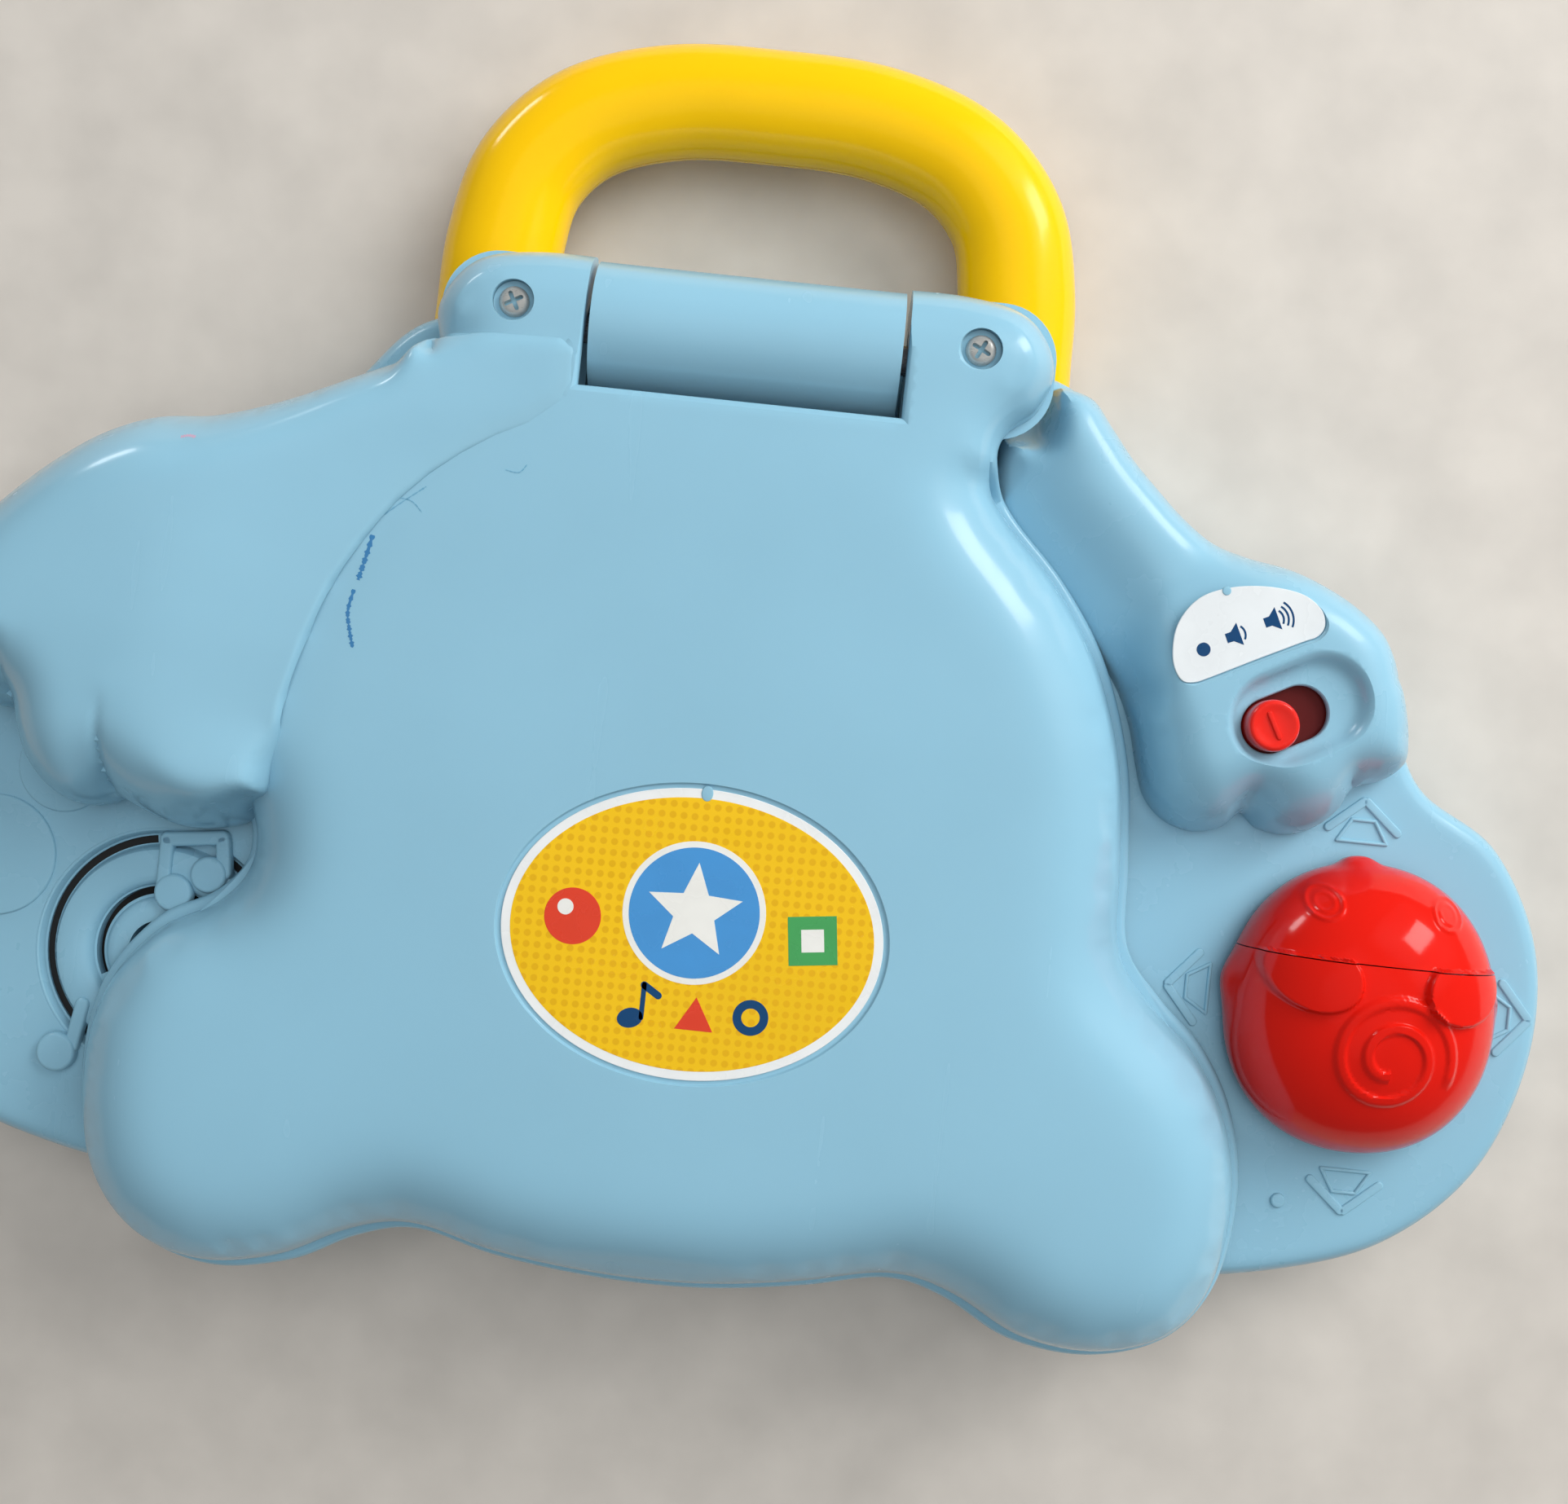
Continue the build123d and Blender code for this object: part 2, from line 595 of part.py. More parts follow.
with BuildPart() as mouse_cross_slide:
    with Locations((mouse_x, mouse_y, cross_z + slide_t / 2)):
        Box(cross_w, cross_l, slide_t)
        Box(12, 12, slide_t, mode=Mode.SUBTRACT)
    for side in (-1, 1):
        with Locations((mouse_x + side * (carriage_w / 2 + 2.4), mouse_y, (cross_z + slide_t + guide_top_z - 1.2) / 2)):
            Box(4.2, cross_l, guide_top_z - 1.2 - cross_z - slide_t)
save(mouse_cross_slide, "mouse_cross_slide")

with BuildPart() as mouse_carriage:
    with Locations((mouse_x, mouse_y, carriage_z + slide_t / 2)):
        Box(carriage_w, carriage_l, slide_t)
    with Locations((mouse_x, mouse_y, (carriage_z + slide_t + mouse_z0 + 3) / 2)):
        Box(stem_w, stem_w, mouse_z0 + 3 - carriage_z - slide_t)
save(mouse_carriage, "mouse_carriage")

with BuildPart() as mouse_shape:
    with BuildSketch(Plane.XY.offset(mouse_z0)):
        with Locations((mouse_x, mouse_y)):
            Ellipse(mouse_half_x, mouse_half_y)
    extrude(amount=mouse_top - mouse_z0)
    fillet(mouse_shape.edges().group_by(Axis.Z)[-1], radius=mouse_round)
with BuildPart() as mouse_inside:
    with BuildSketch(Plane.XY.offset(mouse_z0 - 1)):
        with Locations((mouse_x, mouse_y)):
            Ellipse(mouse_half_x - mouse_wall, mouse_half_y - mouse_wall)
    extrude(amount=mouse_top - mouse_z0 + 1 - mouse_wall)
    fillet(mouse_inside.edges().group_by(Axis.Z)[-1], radius=mouse_round - mouse_wall)
mouse_side = 2 * mouse_half_x
behind_seam = block(mouse_x - mouse_side, mouse_x + mouse_side, mouse_y - mouse_side, seam_y - seam_gap / 2, 0, above_z)
ahead_of_seam = block(mouse_x - mouse_side, mouse_x + mouse_side, seam_y + seam_gap / 2, mouse_y + mouse_side, 0, above_z)
with BuildPart() as mouse_body:
    add(mouse_shape.part & behind_seam)
    add(mouse_inside.part, mode=Mode.SUBTRACT)
    add(block(mouse_x - 8, mouse_x + 8, mouse_y - 7, mouse_y + 7, mouse_z0 + 3, mouse_top - 1))
save(mouse_body, "mouse_body")

with BuildPart() as mouse_head:
    add(mouse_shape.part & ahead_of_seam)
    add(mouse_inside.part, mode=Mode.SUBTRACT)
    for side in (-1, 1):
        with Locations((mouse_x + side * 13, seam_y, head_pivot_z)):
            Cylinder(1.8, 3, rotation=(0, 90, 0))
    with Locations((mouse_x, seam_y + 2.4, head_pivot_z)):
        Box(37, 2.2, 3.6)
save(mouse_head, "mouse_head")

# ---------------------------------------------------------------- volume slider
slot_turn = (0, 0, slot_angle)
with BuildPart() as volume_knob:
    with Locations(Location((slot_a[0], slot_a[1], (knob_base_z + knob_top) / 2), slot_turn)):
        Cylinder(knob_r, knob_top - knob_base_z)
    chamfer(volume_knob.edges().group_by(Axis.Z)[-1], length=0.5)
    with Locations((slot_a[0], slot_a[1], knob_base_z + knob_flange_h / 2)):
        Cylinder(knob_flange_r, knob_flange_h)
    with Locations(Location((slot_a[0], slot_a[1], knob_top), slot_turn)):
        Box(0.8, 5, 0.8)
save(volume_knob, "volume_knob")

with BuildPart() as switch_actuator:
    with Locations(Location((slot_a[0], slot_a[1], (actuator_z + knob_base_z) / 2), slot_turn)):
        Box(actuator_w, actuator_w, knob_base_z - actuator_z)
save(switch_actuator, "switch_actuator")

switch_z = 29.6
switch_top = 35.0
switch_size = (14.4, 7.0)
board_tab_w = 5.0
board_post_y = 6.6
board_post_r = 0.9
with BuildPart() as switch_body:
    with Locations(Location((slot_mid[0], slot_mid[1], (switch_z + switch_top) / 2), slot_turn)):
        Box(*switch_size, switch_top - switch_z)
    with Locations(Location((slot_mid[0], slot_mid[1], switch_top - 1), slot_turn)):
        Box(slot_travel + 3, actuator_w + 1, 2 * actuator_w, mode=Mode.SUBTRACT)
save(switch_body, "switch_body")

with BuildPart() as switch_board:
    with Locations(Location((slot_mid[0], slot_mid[1], switch_z - board_t / 2), slot_turn)):
        Box(switch_size[0] + 4, switch_size[1], board_t)
        Box(board_tab_w, 2 * (board_post_y + board_post_r), board_t)
    with Locations(Location((slot_mid[0], slot_mid[1], (switch_z + slot_floor_z - 1) / 2), slot_turn)):
        with Locations((0, -board_post_y), (0, board_post_y)):
            Cylinder(board_post_r, slot_floor_z - 1 - switch_z)
save(switch_board, "switch_board")

with BuildPart() as volume_label:
    with BuildSketch(Plane.XY.offset(volume_label_z)):
        with Locations(Location(volume_label_mid, (0, 0, volume_label_angle))):
            Ellipse(volume_label_a, volume_label_b)
            Rectangle(3 * volume_label_a, 3 * volume_label_b, align=(Align.CENTER, Align.MAX), mode=Mode.SUBTRACT)
    extrude(amount=label_t)
save(volume_label, "volume_label")

# ---------------------------------------------------------------- nine shape keys and what lies under them
for kind, x, y in key_spots:
    with BuildPart() as key:
        with BuildSketch(Plane.XY.offset(key_flange_z + key_flange_h)):
            with Locations((x, y)):
                add(key_outline(kind, key_size))
        extrude(amount=key_top - key_flange_z - key_flange_h)
        chamfer(key.edges().group_by(Axis.Z)[-1], length=0.7)
        with BuildSketch(Plane.XY.offset(key_flange_z)) as key_base:
            with Locations((x, y)):
                add(key_outline(kind, key_size))
            offset(amount=key_flange)
        extrude(amount=key_flange_h)
    save(key, "key_" + kind)

with BuildPart() as main_pcb:
    add(block(-board_x, board_x, board_y0, board_y1, board_z, board_z + board_t))
save(main_pcb, "main_pcb")

with BuildPart() as sound_chip:
    with Locations((-46, -27.5, board_z - 1.1)):
        Cylinder(6, 2.2)
save(sound_chip, "sound_chip")

sheet_z = board_z + board_t
with BuildPart() as keypad_membrane:
    add(block(-board_x + 4, board_x - 4, board_y0 + 3, board_y1 - 1, sheet_z, sheet_z + sheet_t))
    for kind, x, y in key_spots:
        with Locations((x, y, sheet_z + sheet_t)):
            Cone(5, 3.2, dome_top - sheet_z - sheet_t, align=(Align.CENTER, Align.CENTER, Align.MIN))
save(keypad_membrane, "keypad_membrane")

# ---------------------------------------------------------------- speaker
frame_z = 16.8
with BuildPart() as speaker_frame:
    with Locations((speaker_x, speaker_y, frame_z)):
        Cone(12, speaker_r, deck_z - wall - frame_z, align=(Align.CENTER, Align.CENTER, Align.MIN))
    with Locations((speaker_x, speaker_y, frame_z + 1)):
        Cone(10.5, speaker_r - 1.5, deck_z - wall - frame_z - 1, align=(Align.CENTER, Align.CENTER, Align.MIN),
             mode=Mode.SUBTRACT)
save(speaker_frame, "speaker_frame")

with BuildPart() as speaker_magnet:
    with Locations((speaker_x, speaker_y, frame_z - 3)):
        Cylinder(11, 6)
save(speaker_magnet, "speaker_magnet")

with BuildPart() as speaker_cone:
    with Locations((speaker_x, speaker_y, frame_z + 2)):
        Cone(7, 16.6, 3, align=(Align.CENTER, Align.CENTER, Align.MIN))
    with Locations((speaker_x, speaker_y, frame_z + 2.6)):
        Cone(6.4, 16.2, 2.6, align=(Align.CENTER, Align.CENTER, Align.MIN), mode=Mode.SUBTRACT)
    with Locations((speaker_x, speaker_y, frame_z + 1.5)):
        Cylinder(5, 1)
save(speaker_cone, "speaker_cone")

# ---------------------------------------------------------------- battery bay fittings
with BuildPart() as battery_door:
    add(block(-bay_x + gap, bay_x - gap, bay_y0 + gap, bay_y1 - gap, floor_z, floor_z + door_t))
    add(block(bay_x - 2, door_x1 - gap, door_y0 + gap, door_y1 - gap, floor_z, floor_z + door_t))
    with Locations((*door_screw, floor_z)):
        Cylinder(screw_shank_r + gap, 8, mode=Mode.SUBTRACT)
        Cylinder(cap_r + gap / 2, 2.6, mode=Mode.SUBTRACT)
    with BuildSketch(Plane.XY.offset(floor_z)):
        with GridLocations(0, 3, 1, 5):
            with Locations((-22, 19)):
                Rectangle(12, 1)
    extrude(amount=0.5, mode=Mode.SUBTRACT)
save(battery_door, "battery_door")

with BuildPart() as battery_door_screw:
    add(post(*door_screw, floor_z + 0.2, floor_z + 1.3, 2.6))
    add(post(*door_screw, floor_z + 1.3, split_z - 2.5, screw_shank_r))
    with Locations((*door_screw, floor_z + 0.2)):
        Box(drive_l, drive_w, 1, mode=Mode.SUBTRACT)
        Box(drive_w, drive_l, 1, mode=Mode.SUBTRACT)
save(battery_door_screw, "battery_door_screw")

with BuildPart() as batteries:
    for turn, y in zip((1, -1), cell_y):
        with Locations((0, y, cell_z)):
            Cylinder(cell_r, cell_len - 2, rotation=(0, 90, 0))
        with Locations((turn * (cell_len / 2), y, cell_z)):
            Cylinder(2.7, 2.4, rotation=(0, 90, 0))
save(batteries, "batteries")

with BuildPart() as battery_contacts:
    for side in (-1, 1):
        for y in cell_y:
            with Locations((side * (bay_x - 0.3), y, cell_z)):
                Box(0.5, 11, 12)
    for turn, y in zip((1, -1), cell_y):
        with Locations((turn * (bay_x / 2 + cell_len / 4 + 0.3), y, cell_z)):
            Cylinder(3.4, bay_x - cell_len / 2 - 2, rotation=(0, 90, 0))
save(battery_contacts, "battery_contacts")

with BuildPart() as coil:
    with BuildLine() as coil_line:
        Helix(pitch=1.6, height=5.0, radius=3.6)
    with BuildSketch(Plane(origin=coil_line.line @ 0, z_dir=coil_line.line % 0)):
        Circle(0.35)
    sweep(is_frenet=True)
with BuildPart() as battery_springs:
    for turn, y in zip((-1, 1), cell_y):
        with Locations(Location((turn * (bay_x - 1.2), y, cell_z), (0, -90 * turn, 0))):
            add(coil.part)
save(battery_springs, "battery_springs")

# ---------------------------------------------------------------- feet, lid rests and screws
with BuildPart() as rubber_feet:
    for x, y in feet_at:
        add(post(x, y, 0, floor_z + foot_sink, foot_r))
    chamfer(rubber_feet.edges().group_by(Axis.Z)[0], length=0.6)
save(rubber_feet, "rubber_feet")

lid_rest_x = 62.0
lid_rest_y = -91.0
lid_rest_r = 3.0
with BuildPart() as lid_rests:
    for x in (-lid_rest_x, lid_rest_x):
        add(post(x, lid_rest_y, deck_z, neck_under_z - gap, lid_rest_r))
save(lid_rests, "lid_rests")

for spots, tip, name in ((case_screws_at, 16.0, "case_screws"), (handle_screws_at, 11.5, "handle_screws")):
    with BuildPart() as screws:
        for x, y in spots:
            add(post(x, y, cap_z, seat_z, cap_r))
            add(post(x, y, seat_z, tip, screw_shank_r))
        with Locations(*[(x, y, cap_z) for x, y in spots]):
            Box(drive_l, drive_w, 2 * drive_w, mode=Mode.SUBTRACT)
            Box(drive_w, drive_l, 2 * drive_w, mode=Mode.SUBTRACT)
    save(screws, name)
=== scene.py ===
"""The look of a toy laptop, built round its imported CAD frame. Shapes are given in millimetres, made in metres."""
import json
import math

import bmesh
import bpy
import numpy as np
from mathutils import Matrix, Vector
from mathutils.bvhtree import BVHTree
from mathutils.geometry import delaunay_2d_cdt


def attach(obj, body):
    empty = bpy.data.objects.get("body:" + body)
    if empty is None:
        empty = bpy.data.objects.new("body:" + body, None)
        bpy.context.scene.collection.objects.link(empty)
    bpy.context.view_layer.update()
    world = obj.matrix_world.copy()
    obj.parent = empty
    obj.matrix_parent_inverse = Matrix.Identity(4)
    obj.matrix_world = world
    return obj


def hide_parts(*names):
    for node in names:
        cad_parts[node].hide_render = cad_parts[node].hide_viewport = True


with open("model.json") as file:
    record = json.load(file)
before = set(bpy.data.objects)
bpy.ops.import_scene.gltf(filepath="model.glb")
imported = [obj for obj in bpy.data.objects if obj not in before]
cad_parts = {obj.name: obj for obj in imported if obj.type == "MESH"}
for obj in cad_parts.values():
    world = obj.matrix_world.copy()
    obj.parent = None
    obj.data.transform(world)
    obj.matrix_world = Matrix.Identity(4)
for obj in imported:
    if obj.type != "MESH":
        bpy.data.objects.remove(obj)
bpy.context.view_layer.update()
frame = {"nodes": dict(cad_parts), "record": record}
MM = 0.001

# ---- sizes shared by several pieces, in millimetres
HINGE_Y, HINGE_Z, KNUCKLE_R = 54.5, 34.0, 11.5
DECK_Z, SPLIT_Z, TROUGH_Z, RIM_Z = 25.0, 12.5, 20.0, 27.0
LID_TOP, NECK_TOP, ARM_TOP = 46.6, 45.5, 51.4
NOTCH_HALF, NOTCH_Y = 26.5, 42.9
WALL = 2.2
CARVED_CREASE, WELD = 32, 1e-7
CUT_LOW, CUT_HIGH = 20, 30
MARK_ROOT = DECK_Z - 0.4
TROUGH_HALF, TROUGH_Y = 53.2, 40
SPEAKER_HOLE_R, STEM_HOLE = 21.4, 7.5
KEY_GAP, KEY_CUT_Z, KEY_POINTS = 0.5, 26.5, 140
LABEL_Z, LABEL_PRINT_Z, TAG_Z = 46.0, 46.34, 40.98
LABEL_MID, LABEL_A, LABEL_B = (1.5, -44.0), 31.4, 24.0
SCREW_X, SCREW_Y, SCREW_HOLE_R = 38.4, 55.6, 3.4
SLOT_TURN = math.radians(28.0)
SLOT_A, SLOT_TRAVEL, SLOT_R = (92.7, -0.4), 5.6, 4.6
SLOT_DIR = np.array([math.cos(SLOT_TURN), math.sin(SLOT_TURN)])
SLOT_MID = np.array(SLOT_A) + SLOT_DIR * SLOT_TRAVEL / 2
TAG_TURN = math.radians(25.6)
SPEAKER = (-91.0, -58.7)
MOUSE = (115.2, -45.8)
MOUSE_MID, MOUSE_A, MOUSE_BACK, MOUSE_FRONT, MOUSE_Z0, MOUSE_TOP = (115.3, -47.0), 22.6, 24.0, 25.4, 26.4, 46.4
SEAM_Y, SEAM_GAP = -37.6, 0.2

# ---- outlines, clockwise from the back
def mirrored(points):
    return [(-x, y) for x, y in points[::-1]]


BASE_FRONT = [(139, -17), (148, -34), (148.5, -54), (141, -74), (126, -88), (106, -95), (84, -98), (62, -99),
              (40, -99.5), (20, -100)]
BASE_LINE = [(0, 59.5), (22, 59.5), (42, 59), (58, 55), (69, 43), (83, 31), (100, 26.4), (113, 18), (119, 4),
             (125, -8)] + BASE_FRONT + [(0, -100)] + mirrored(BASE_FRONT) + [
    (-125, -6), (-112, 5), (-98, 16), (-83, 29), (-69, 43), (-58, 55), (-42, 59), (-22, 59.5)]
LID_LINE = [(0, 66), (20, 66), (36, 66), (46.5, 63.5), (51.6, 56), (49.6, 48.2), (44.6, 43.6), (44, 38), (48.5, 31),
            (58, 21), (66.5, 8), (72.3, -9), (74.2, -26), (75.4, -40), (81.9, -48.4), (89.9, -55.9), (96, -66.4),
            (98.8, -80), (96.6, -96), (89, -106.4), (76, -110.8), (62, -109.4), (50, -103.4), (40, -101.2),
            (26, -104), (12, -106), (0, -106.6), (-14, -106), (-28, -104.2), (-41, -101.2), (-51, -103.4),
            (-62, -108.8), (-76, -111), (-89, -106.6), (-98, -95.5), (-101.2, -79), (-99, -64), (-91, -52.5),
            (-81.5, -47), (-76.6, -41), (-76.8, -34), (-81, -24), (-83, -8), (-79, 8), (-70, 22), (-61, 31),
            (-54.5, 37.5), (-51, 43.5), (-51.4, 49), (-52, 56), (-46.5, 63.5), (-36, 66), (-20, 66)]
CREASE = [(-27, 39), (-34.6, 36.2), (-39.8, 33.7), (-44.8, 30.4), (-49.7, 26.4), (-54.6, 21.2), (-59, 14.8),
          (-63.2, 7), (-66.2, -1.6), (-68.8, -12), (-69.6, -21), (-70.6, -28.4)]
SHOULDER = [(-50.6, 49), (-44, 49.7), (-36, 50.4), (-29.8, 50.5), (-27.5, 48.4), (-27.3, 43), (-28.6, 39.6)]
REST = SHOULDER + [(x + 1.0, y - 0.8) for x, y in CREASE[1:]] + [(-73.2, -31.2)]
ARM_LEFT = REST + [
    (-76.8, -34.6), (-81.7, -36.2), (-86.8, -36.5), (-91.5, -35.2), (-95.3, -33.6), (-97.9, -32.6),
    (-100.2, -33.8), (-103.6, -34.6), (-107.2, -33.6), (-110.6, -31), (-113.6, -27), (-115.4, -22), (-116.4, -18.4),
    (-119.2, -19.4), (-123.6, -18), (-127.8, -13.4), (-130, -6), (-129, 3), (-124.4, 12), (-117.6, 19.4),
    (-111.4, 24.8), (-104.6, 29.4), (-96.6, 32.6), (-86.8, 33.9), (-75.5, 37.6), (-64.6, 42.6), (-56.4, 46.4)]
ARM_RIGHT_INNER = [(119.2, -2.4), (118.2, -5.4), (115.4, -7.6), (112, -8.8), (110, -10.4), (108.6, -13.4),
                   (105, -16.8), (100.6, -18.3), (95.8, -17.6), (92.5, -15.4), (89.4, -18.2), (84.8, -19.4),
                   (79.8, -18), (76, -14.4), (74, -9), (72.4, -3), (69.8, 3), (65.4, 9.5), (60, 16.4), (54.4, 22.4),
                   (49.4, 27.6), (46.2, 32), (45, 37), (45, 43), (45.6, 48.6), (48.6, 52.8), (53.6, 54.6)]
HANDLE_HALF = [(46.5, 52.5), (46.5, 60), (46.2, 73), (43, 86), (33.5, 96), (18, 101.2), (0, 102.1)]
HANDLE_PATH = HANDLE_HALF + mirrored(HANDLE_HALF[:-1])
HANDLE_Z, HANDLE_TALL = 13.0, 8.5


# ---- curves and rings
def spread(walk, count, endpoint=False):
    """count points at equal steps along a polyline, with or without its last point."""
    along = np.concatenate([[0], np.cumsum(np.linalg.norm(np.diff(walk, axis=0), axis=1))])
    want = np.linspace(0, along[-1], count, endpoint=endpoint)
    return np.stack([np.interp(want, along, walk[:, i]) for i in range(walk.shape[1])], 1)


def even_loop(points, count, closed=True):
    """count points spread evenly along a smooth curve through the given points."""
    p = np.array(points, float)
    if closed:
        p0, p1, p2, p3 = np.roll(p, 1, 0), p, np.roll(p, -1, 0), np.roll(p, -2, 0)
    else:
        first, last = 2 * p[0] - p[1], 2 * p[-1] - p[-2]
        q = np.vstack([first, p, last])
        p0, p1, p2, p3 = q[:-3], q[1:-2], q[2:-1], q[3:]
    dense = []
    steps = 24
    for a, b, c, d in zip(p0, p1, p2, p3):
        for k in range(steps):
            t = k / steps
            dense.append(0.5 * (2 * b + (c - a) * t + (2 * a - 5 * b + 4 * c - d) * t * t
                                + (3 * b - a - 3 * c + d) * t ** 3))
    if not closed:
        dense.append(p[-1])
    dense = np.array(dense)
    return spread(np.vstack([dense, dense[:1]]) if closed else dense, count, not closed)


def inward(ring):
    """Unit normals pointing into a clockwise ring."""
    tangent = np.roll(ring, -1, 0) - np.roll(ring, 1, 0)
    tangent /= np.linalg.norm(tangent, axis=1)[:, None]
    return np.stack([tangent[:, 1], -tangent[:, 0]], 1)


def sideways(path):
    """Unit normals to the left of an open path."""
    tangent = np.gradient(path, axis=0)
    tangent /= np.linalg.norm(tangent, axis=1)[:, None]
    return np.stack([-tangent[:, 1], tangent[:, 0]], 1)


def nested(loop, insets, ease=0.3, stride=0.5):
    """Rings inside a clockwise loop, one for each inset, kept even and smooth as they shrink."""
    rings, ring, done = [], np.array(loop, float), 0.0
    for inset in insets:
        while done < inset - 1e-9:
            step = min(stride, inset - done)
            ring = ring + inward(ring) * step
            ring = ring + ease * ((np.roll(ring, 1, 0) + np.roll(ring, -1, 0)) / 2 - ring)
            done += step
        rings.append(ring.copy())
    return rings


def smooth(t):
    t = np.clip(t, 0, 1)
    return t * t * (3 - 2 * t)


def quarter(t, power=2.0):
    """Rises steeply from 0 at t = 0 and levels off at 1 for t = 1."""
    return (1 - (1 - np.clip(t, 0, 1)) ** power) ** (1 / power)


def near(x, y, cx, cy, size):
    return np.exp(-((x - cx) ** 2 + (y - cy) ** 2) / size ** 2)


def line_distance(x, y, a, b):
    ax, ay = a
    dx, dy = b[0] - ax, b[1] - ay
    t = np.clip(((x - ax) * dx + (y - ay) * dy) / (dx * dx + dy * dy), 0, 1)
    return np.hypot(x - ax - t * dx, y - ay - t * dy)


def chain_distance(x, y, points):
    """Distance to an open chain of lines."""
    return np.minimum.reduce([line_distance(x, y, a, b) for a, b in zip(points, points[1:])])


# ---- shells with an exact distance to their outline
def edge_distance(points, loop):
    """Distance from each point to a closed polyline, and whether the point is inside it."""
    a, b = loop, np.roll(loop, -1, 0)
    gap, inside = [], []
    for part in np.array_split(points, max(1, len(points) // 2500)):
        px, py = part[:, :1], part[:, 1:]
        along = b - a
        t = np.clip(((px - a[:, 0]) * along[:, 0] + (py - a[:, 1]) * along[:, 1]) / np.sum(along ** 2, 1), 0, 1)
        gap.append(np.hypot(px - a[:, 0] - t * along[:, 0], py - a[:, 1] - t * along[:, 1]).min(1))
        cross = (a[:, 1] > py) != (b[:, 1] > py)
        x_at = a[:, 0] + (py - a[:, 1]) * along[:, 0] / np.where(along[:, 1] == 0, 1e-9, along[:, 1])
        inside.append((cross & (px < x_at)).sum(1) % 2 == 1)
    return np.concatenate(gap), np.concatenate(inside)


def filled(ring, spacing):
    """Points inside a ring on a triangular lattice, and triangles over ring and points together."""
    low, high = ring.min(0), ring.max(0)
    rows = np.arange(low[1], high[1], spacing * 0.866)
    columns = np.arange(low[0] - spacing, high[0] + spacing, spacing)
    lattice = np.array([(x + (spacing / 2 if k % 2 else 0), y) for k, y in enumerate(rows) for x in columns])
    gap, inside = edge_distance(lattice, ring)
    lattice = lattice[inside & (gap > spacing * 0.55)]
    points = np.vstack([ring, lattice])
    made = delaunay_2d_cdt([Vector(p) for p in points], [], [list(range(len(ring)))[::-1]], 1, 1e-6, True)
    extra = [k for k, came in enumerate(made[3]) if not came]
    first = [came[0] if came else len(points) + extra.index(k) for k, came in enumerate(made[3])]
    if extra:
        points = np.vstack([points, np.array([made[0][k] for k in extra])])
    faces = [tuple(first[i] for i in face) for face in made[2]]
    kept = edge_distance(np.array([points[list(face)].mean(0) for face in faces]), ring)[1]
    return points, [face for face, keep in zip(faces, kept) if keep]


def settled(points, z, faces, weight, rounds):
    """Evens heights out over a triangle mesh, each point as strongly as its weight says."""
    pairs = np.array([(f[i], f[(i + 1) % 3]) for f in faces for i in range(3)])
    count = np.bincount(pairs[:, 0], minlength=len(points)).clip(1)
    for _ in range(rounds):
        total = np.bincount(pairs[:, 0], weights=z[pairs[:, 1]], minlength=len(points))
        z = z + 0.6 * weight * (total / count - z)
    return z


def bands(rows, count):
    """Quads joining one row of count points to the next, row after row."""
    return [(a + i, a + (i + 1) % count, a + count + (i + 1) % count, a + count + i)
            for a in range(0, (rows - 1) * count, count) for i in range(count)]


def shell(loop, count, insets, height, spacing, rounds, thick, reach=6.0, ceiling=99.0, crisp=None):
    """A closed hollow shell: its upper skin stands height(x, y, distance to the outline) high."""
    outline = even_loop(loop, count)
    rings = nested(outline, insets)
    verts = []
    for ring, d in zip(rings[:-1], insets):
        verts.append(np.column_stack([ring, height(ring[:, 0], ring[:, 1], np.full(count, float(d)))]))
    points, cover = filled(rings[-1], spacing)
    d = edge_distance(points, outline)[0]
    d[:count] = insets[-1]
    z = height(points[:, 0], points[:, 1], d)
    weight = smooth((d - insets[-1]) / reach)
    if crisp:
        weight = weight * (1 - crisp(points[:, 0], points[:, 1]))
    z = settled(points, z, cover, weight, rounds)
    verts.append(np.column_stack([points, z]))
    shift = (len(rings) - 1) * count
    faces = bands(len(rings), count) + [tuple(shift + i for i in face) for face in cover]
    lining_ring = nested(outline, [thick])[0]
    points, cover = filled(lining_ring, spacing * 2)
    d = edge_distance(points, outline)[0]
    d[:count] = thick
    z = height(points[:, 0], points[:, 1], np.maximum(d - thick, 0) * 0.9) - thick
    z = settled(points, z, cover, smooth((d - thick) / reach), rounds // 3)
    rim = verts[0][:, 2]
    z[:count] = rim
    z = np.minimum(np.maximum(z, rim.min()), ceiling)
    shift = sum(len(v) for v in verts)
    verts.append(np.column_stack([points, z]))
    faces += [(i, (i + 1) % count, shift + (i + 1) % count, shift + i) for i in range(count)]
    faces += [tuple(shift + i for i in face) for face in cover]
    return np.vstack(verts), faces


# ---- mesh helpers
def make(name, verts, faces, material, body, slot=None, replaced=(), sharp=40):
    """A piece from points in millimetres, riding on a body."""
    return dress(solid(name, verts, faces, WELD), material, body, replaced, sharp)


def dress(piece, material, body, replaced=(), sharp=40):
    piece.data.materials.append(material)
    shade(piece, sharp)
    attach(piece, body)
    if replaced:
        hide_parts(*replaced)
    return piece


def shade(piece, sharp):
    mesh = piece.data
    mesh.polygons.foreach_set("use_smooth", [True] * len(mesh.polygons))
    mesh.set_sharp_from_angle(angle=math.radians(sharp))


def stack(rings, capped=True):
    """Verts and faces joining rings of equal count; each ring is (xy, z)."""
    verts = []
    count = len(rings[0][0])
    for xy, z in rings:
        verts.extend(np.column_stack([xy, np.broadcast_to(np.asarray(z, float), (count,))]))
    faces = bands(len(rings), count)
    if capped:
        faces += [tuple(range(count)), tuple(range(len(verts) - 1, len(verts) - count - 1, -1))]
    return verts, faces


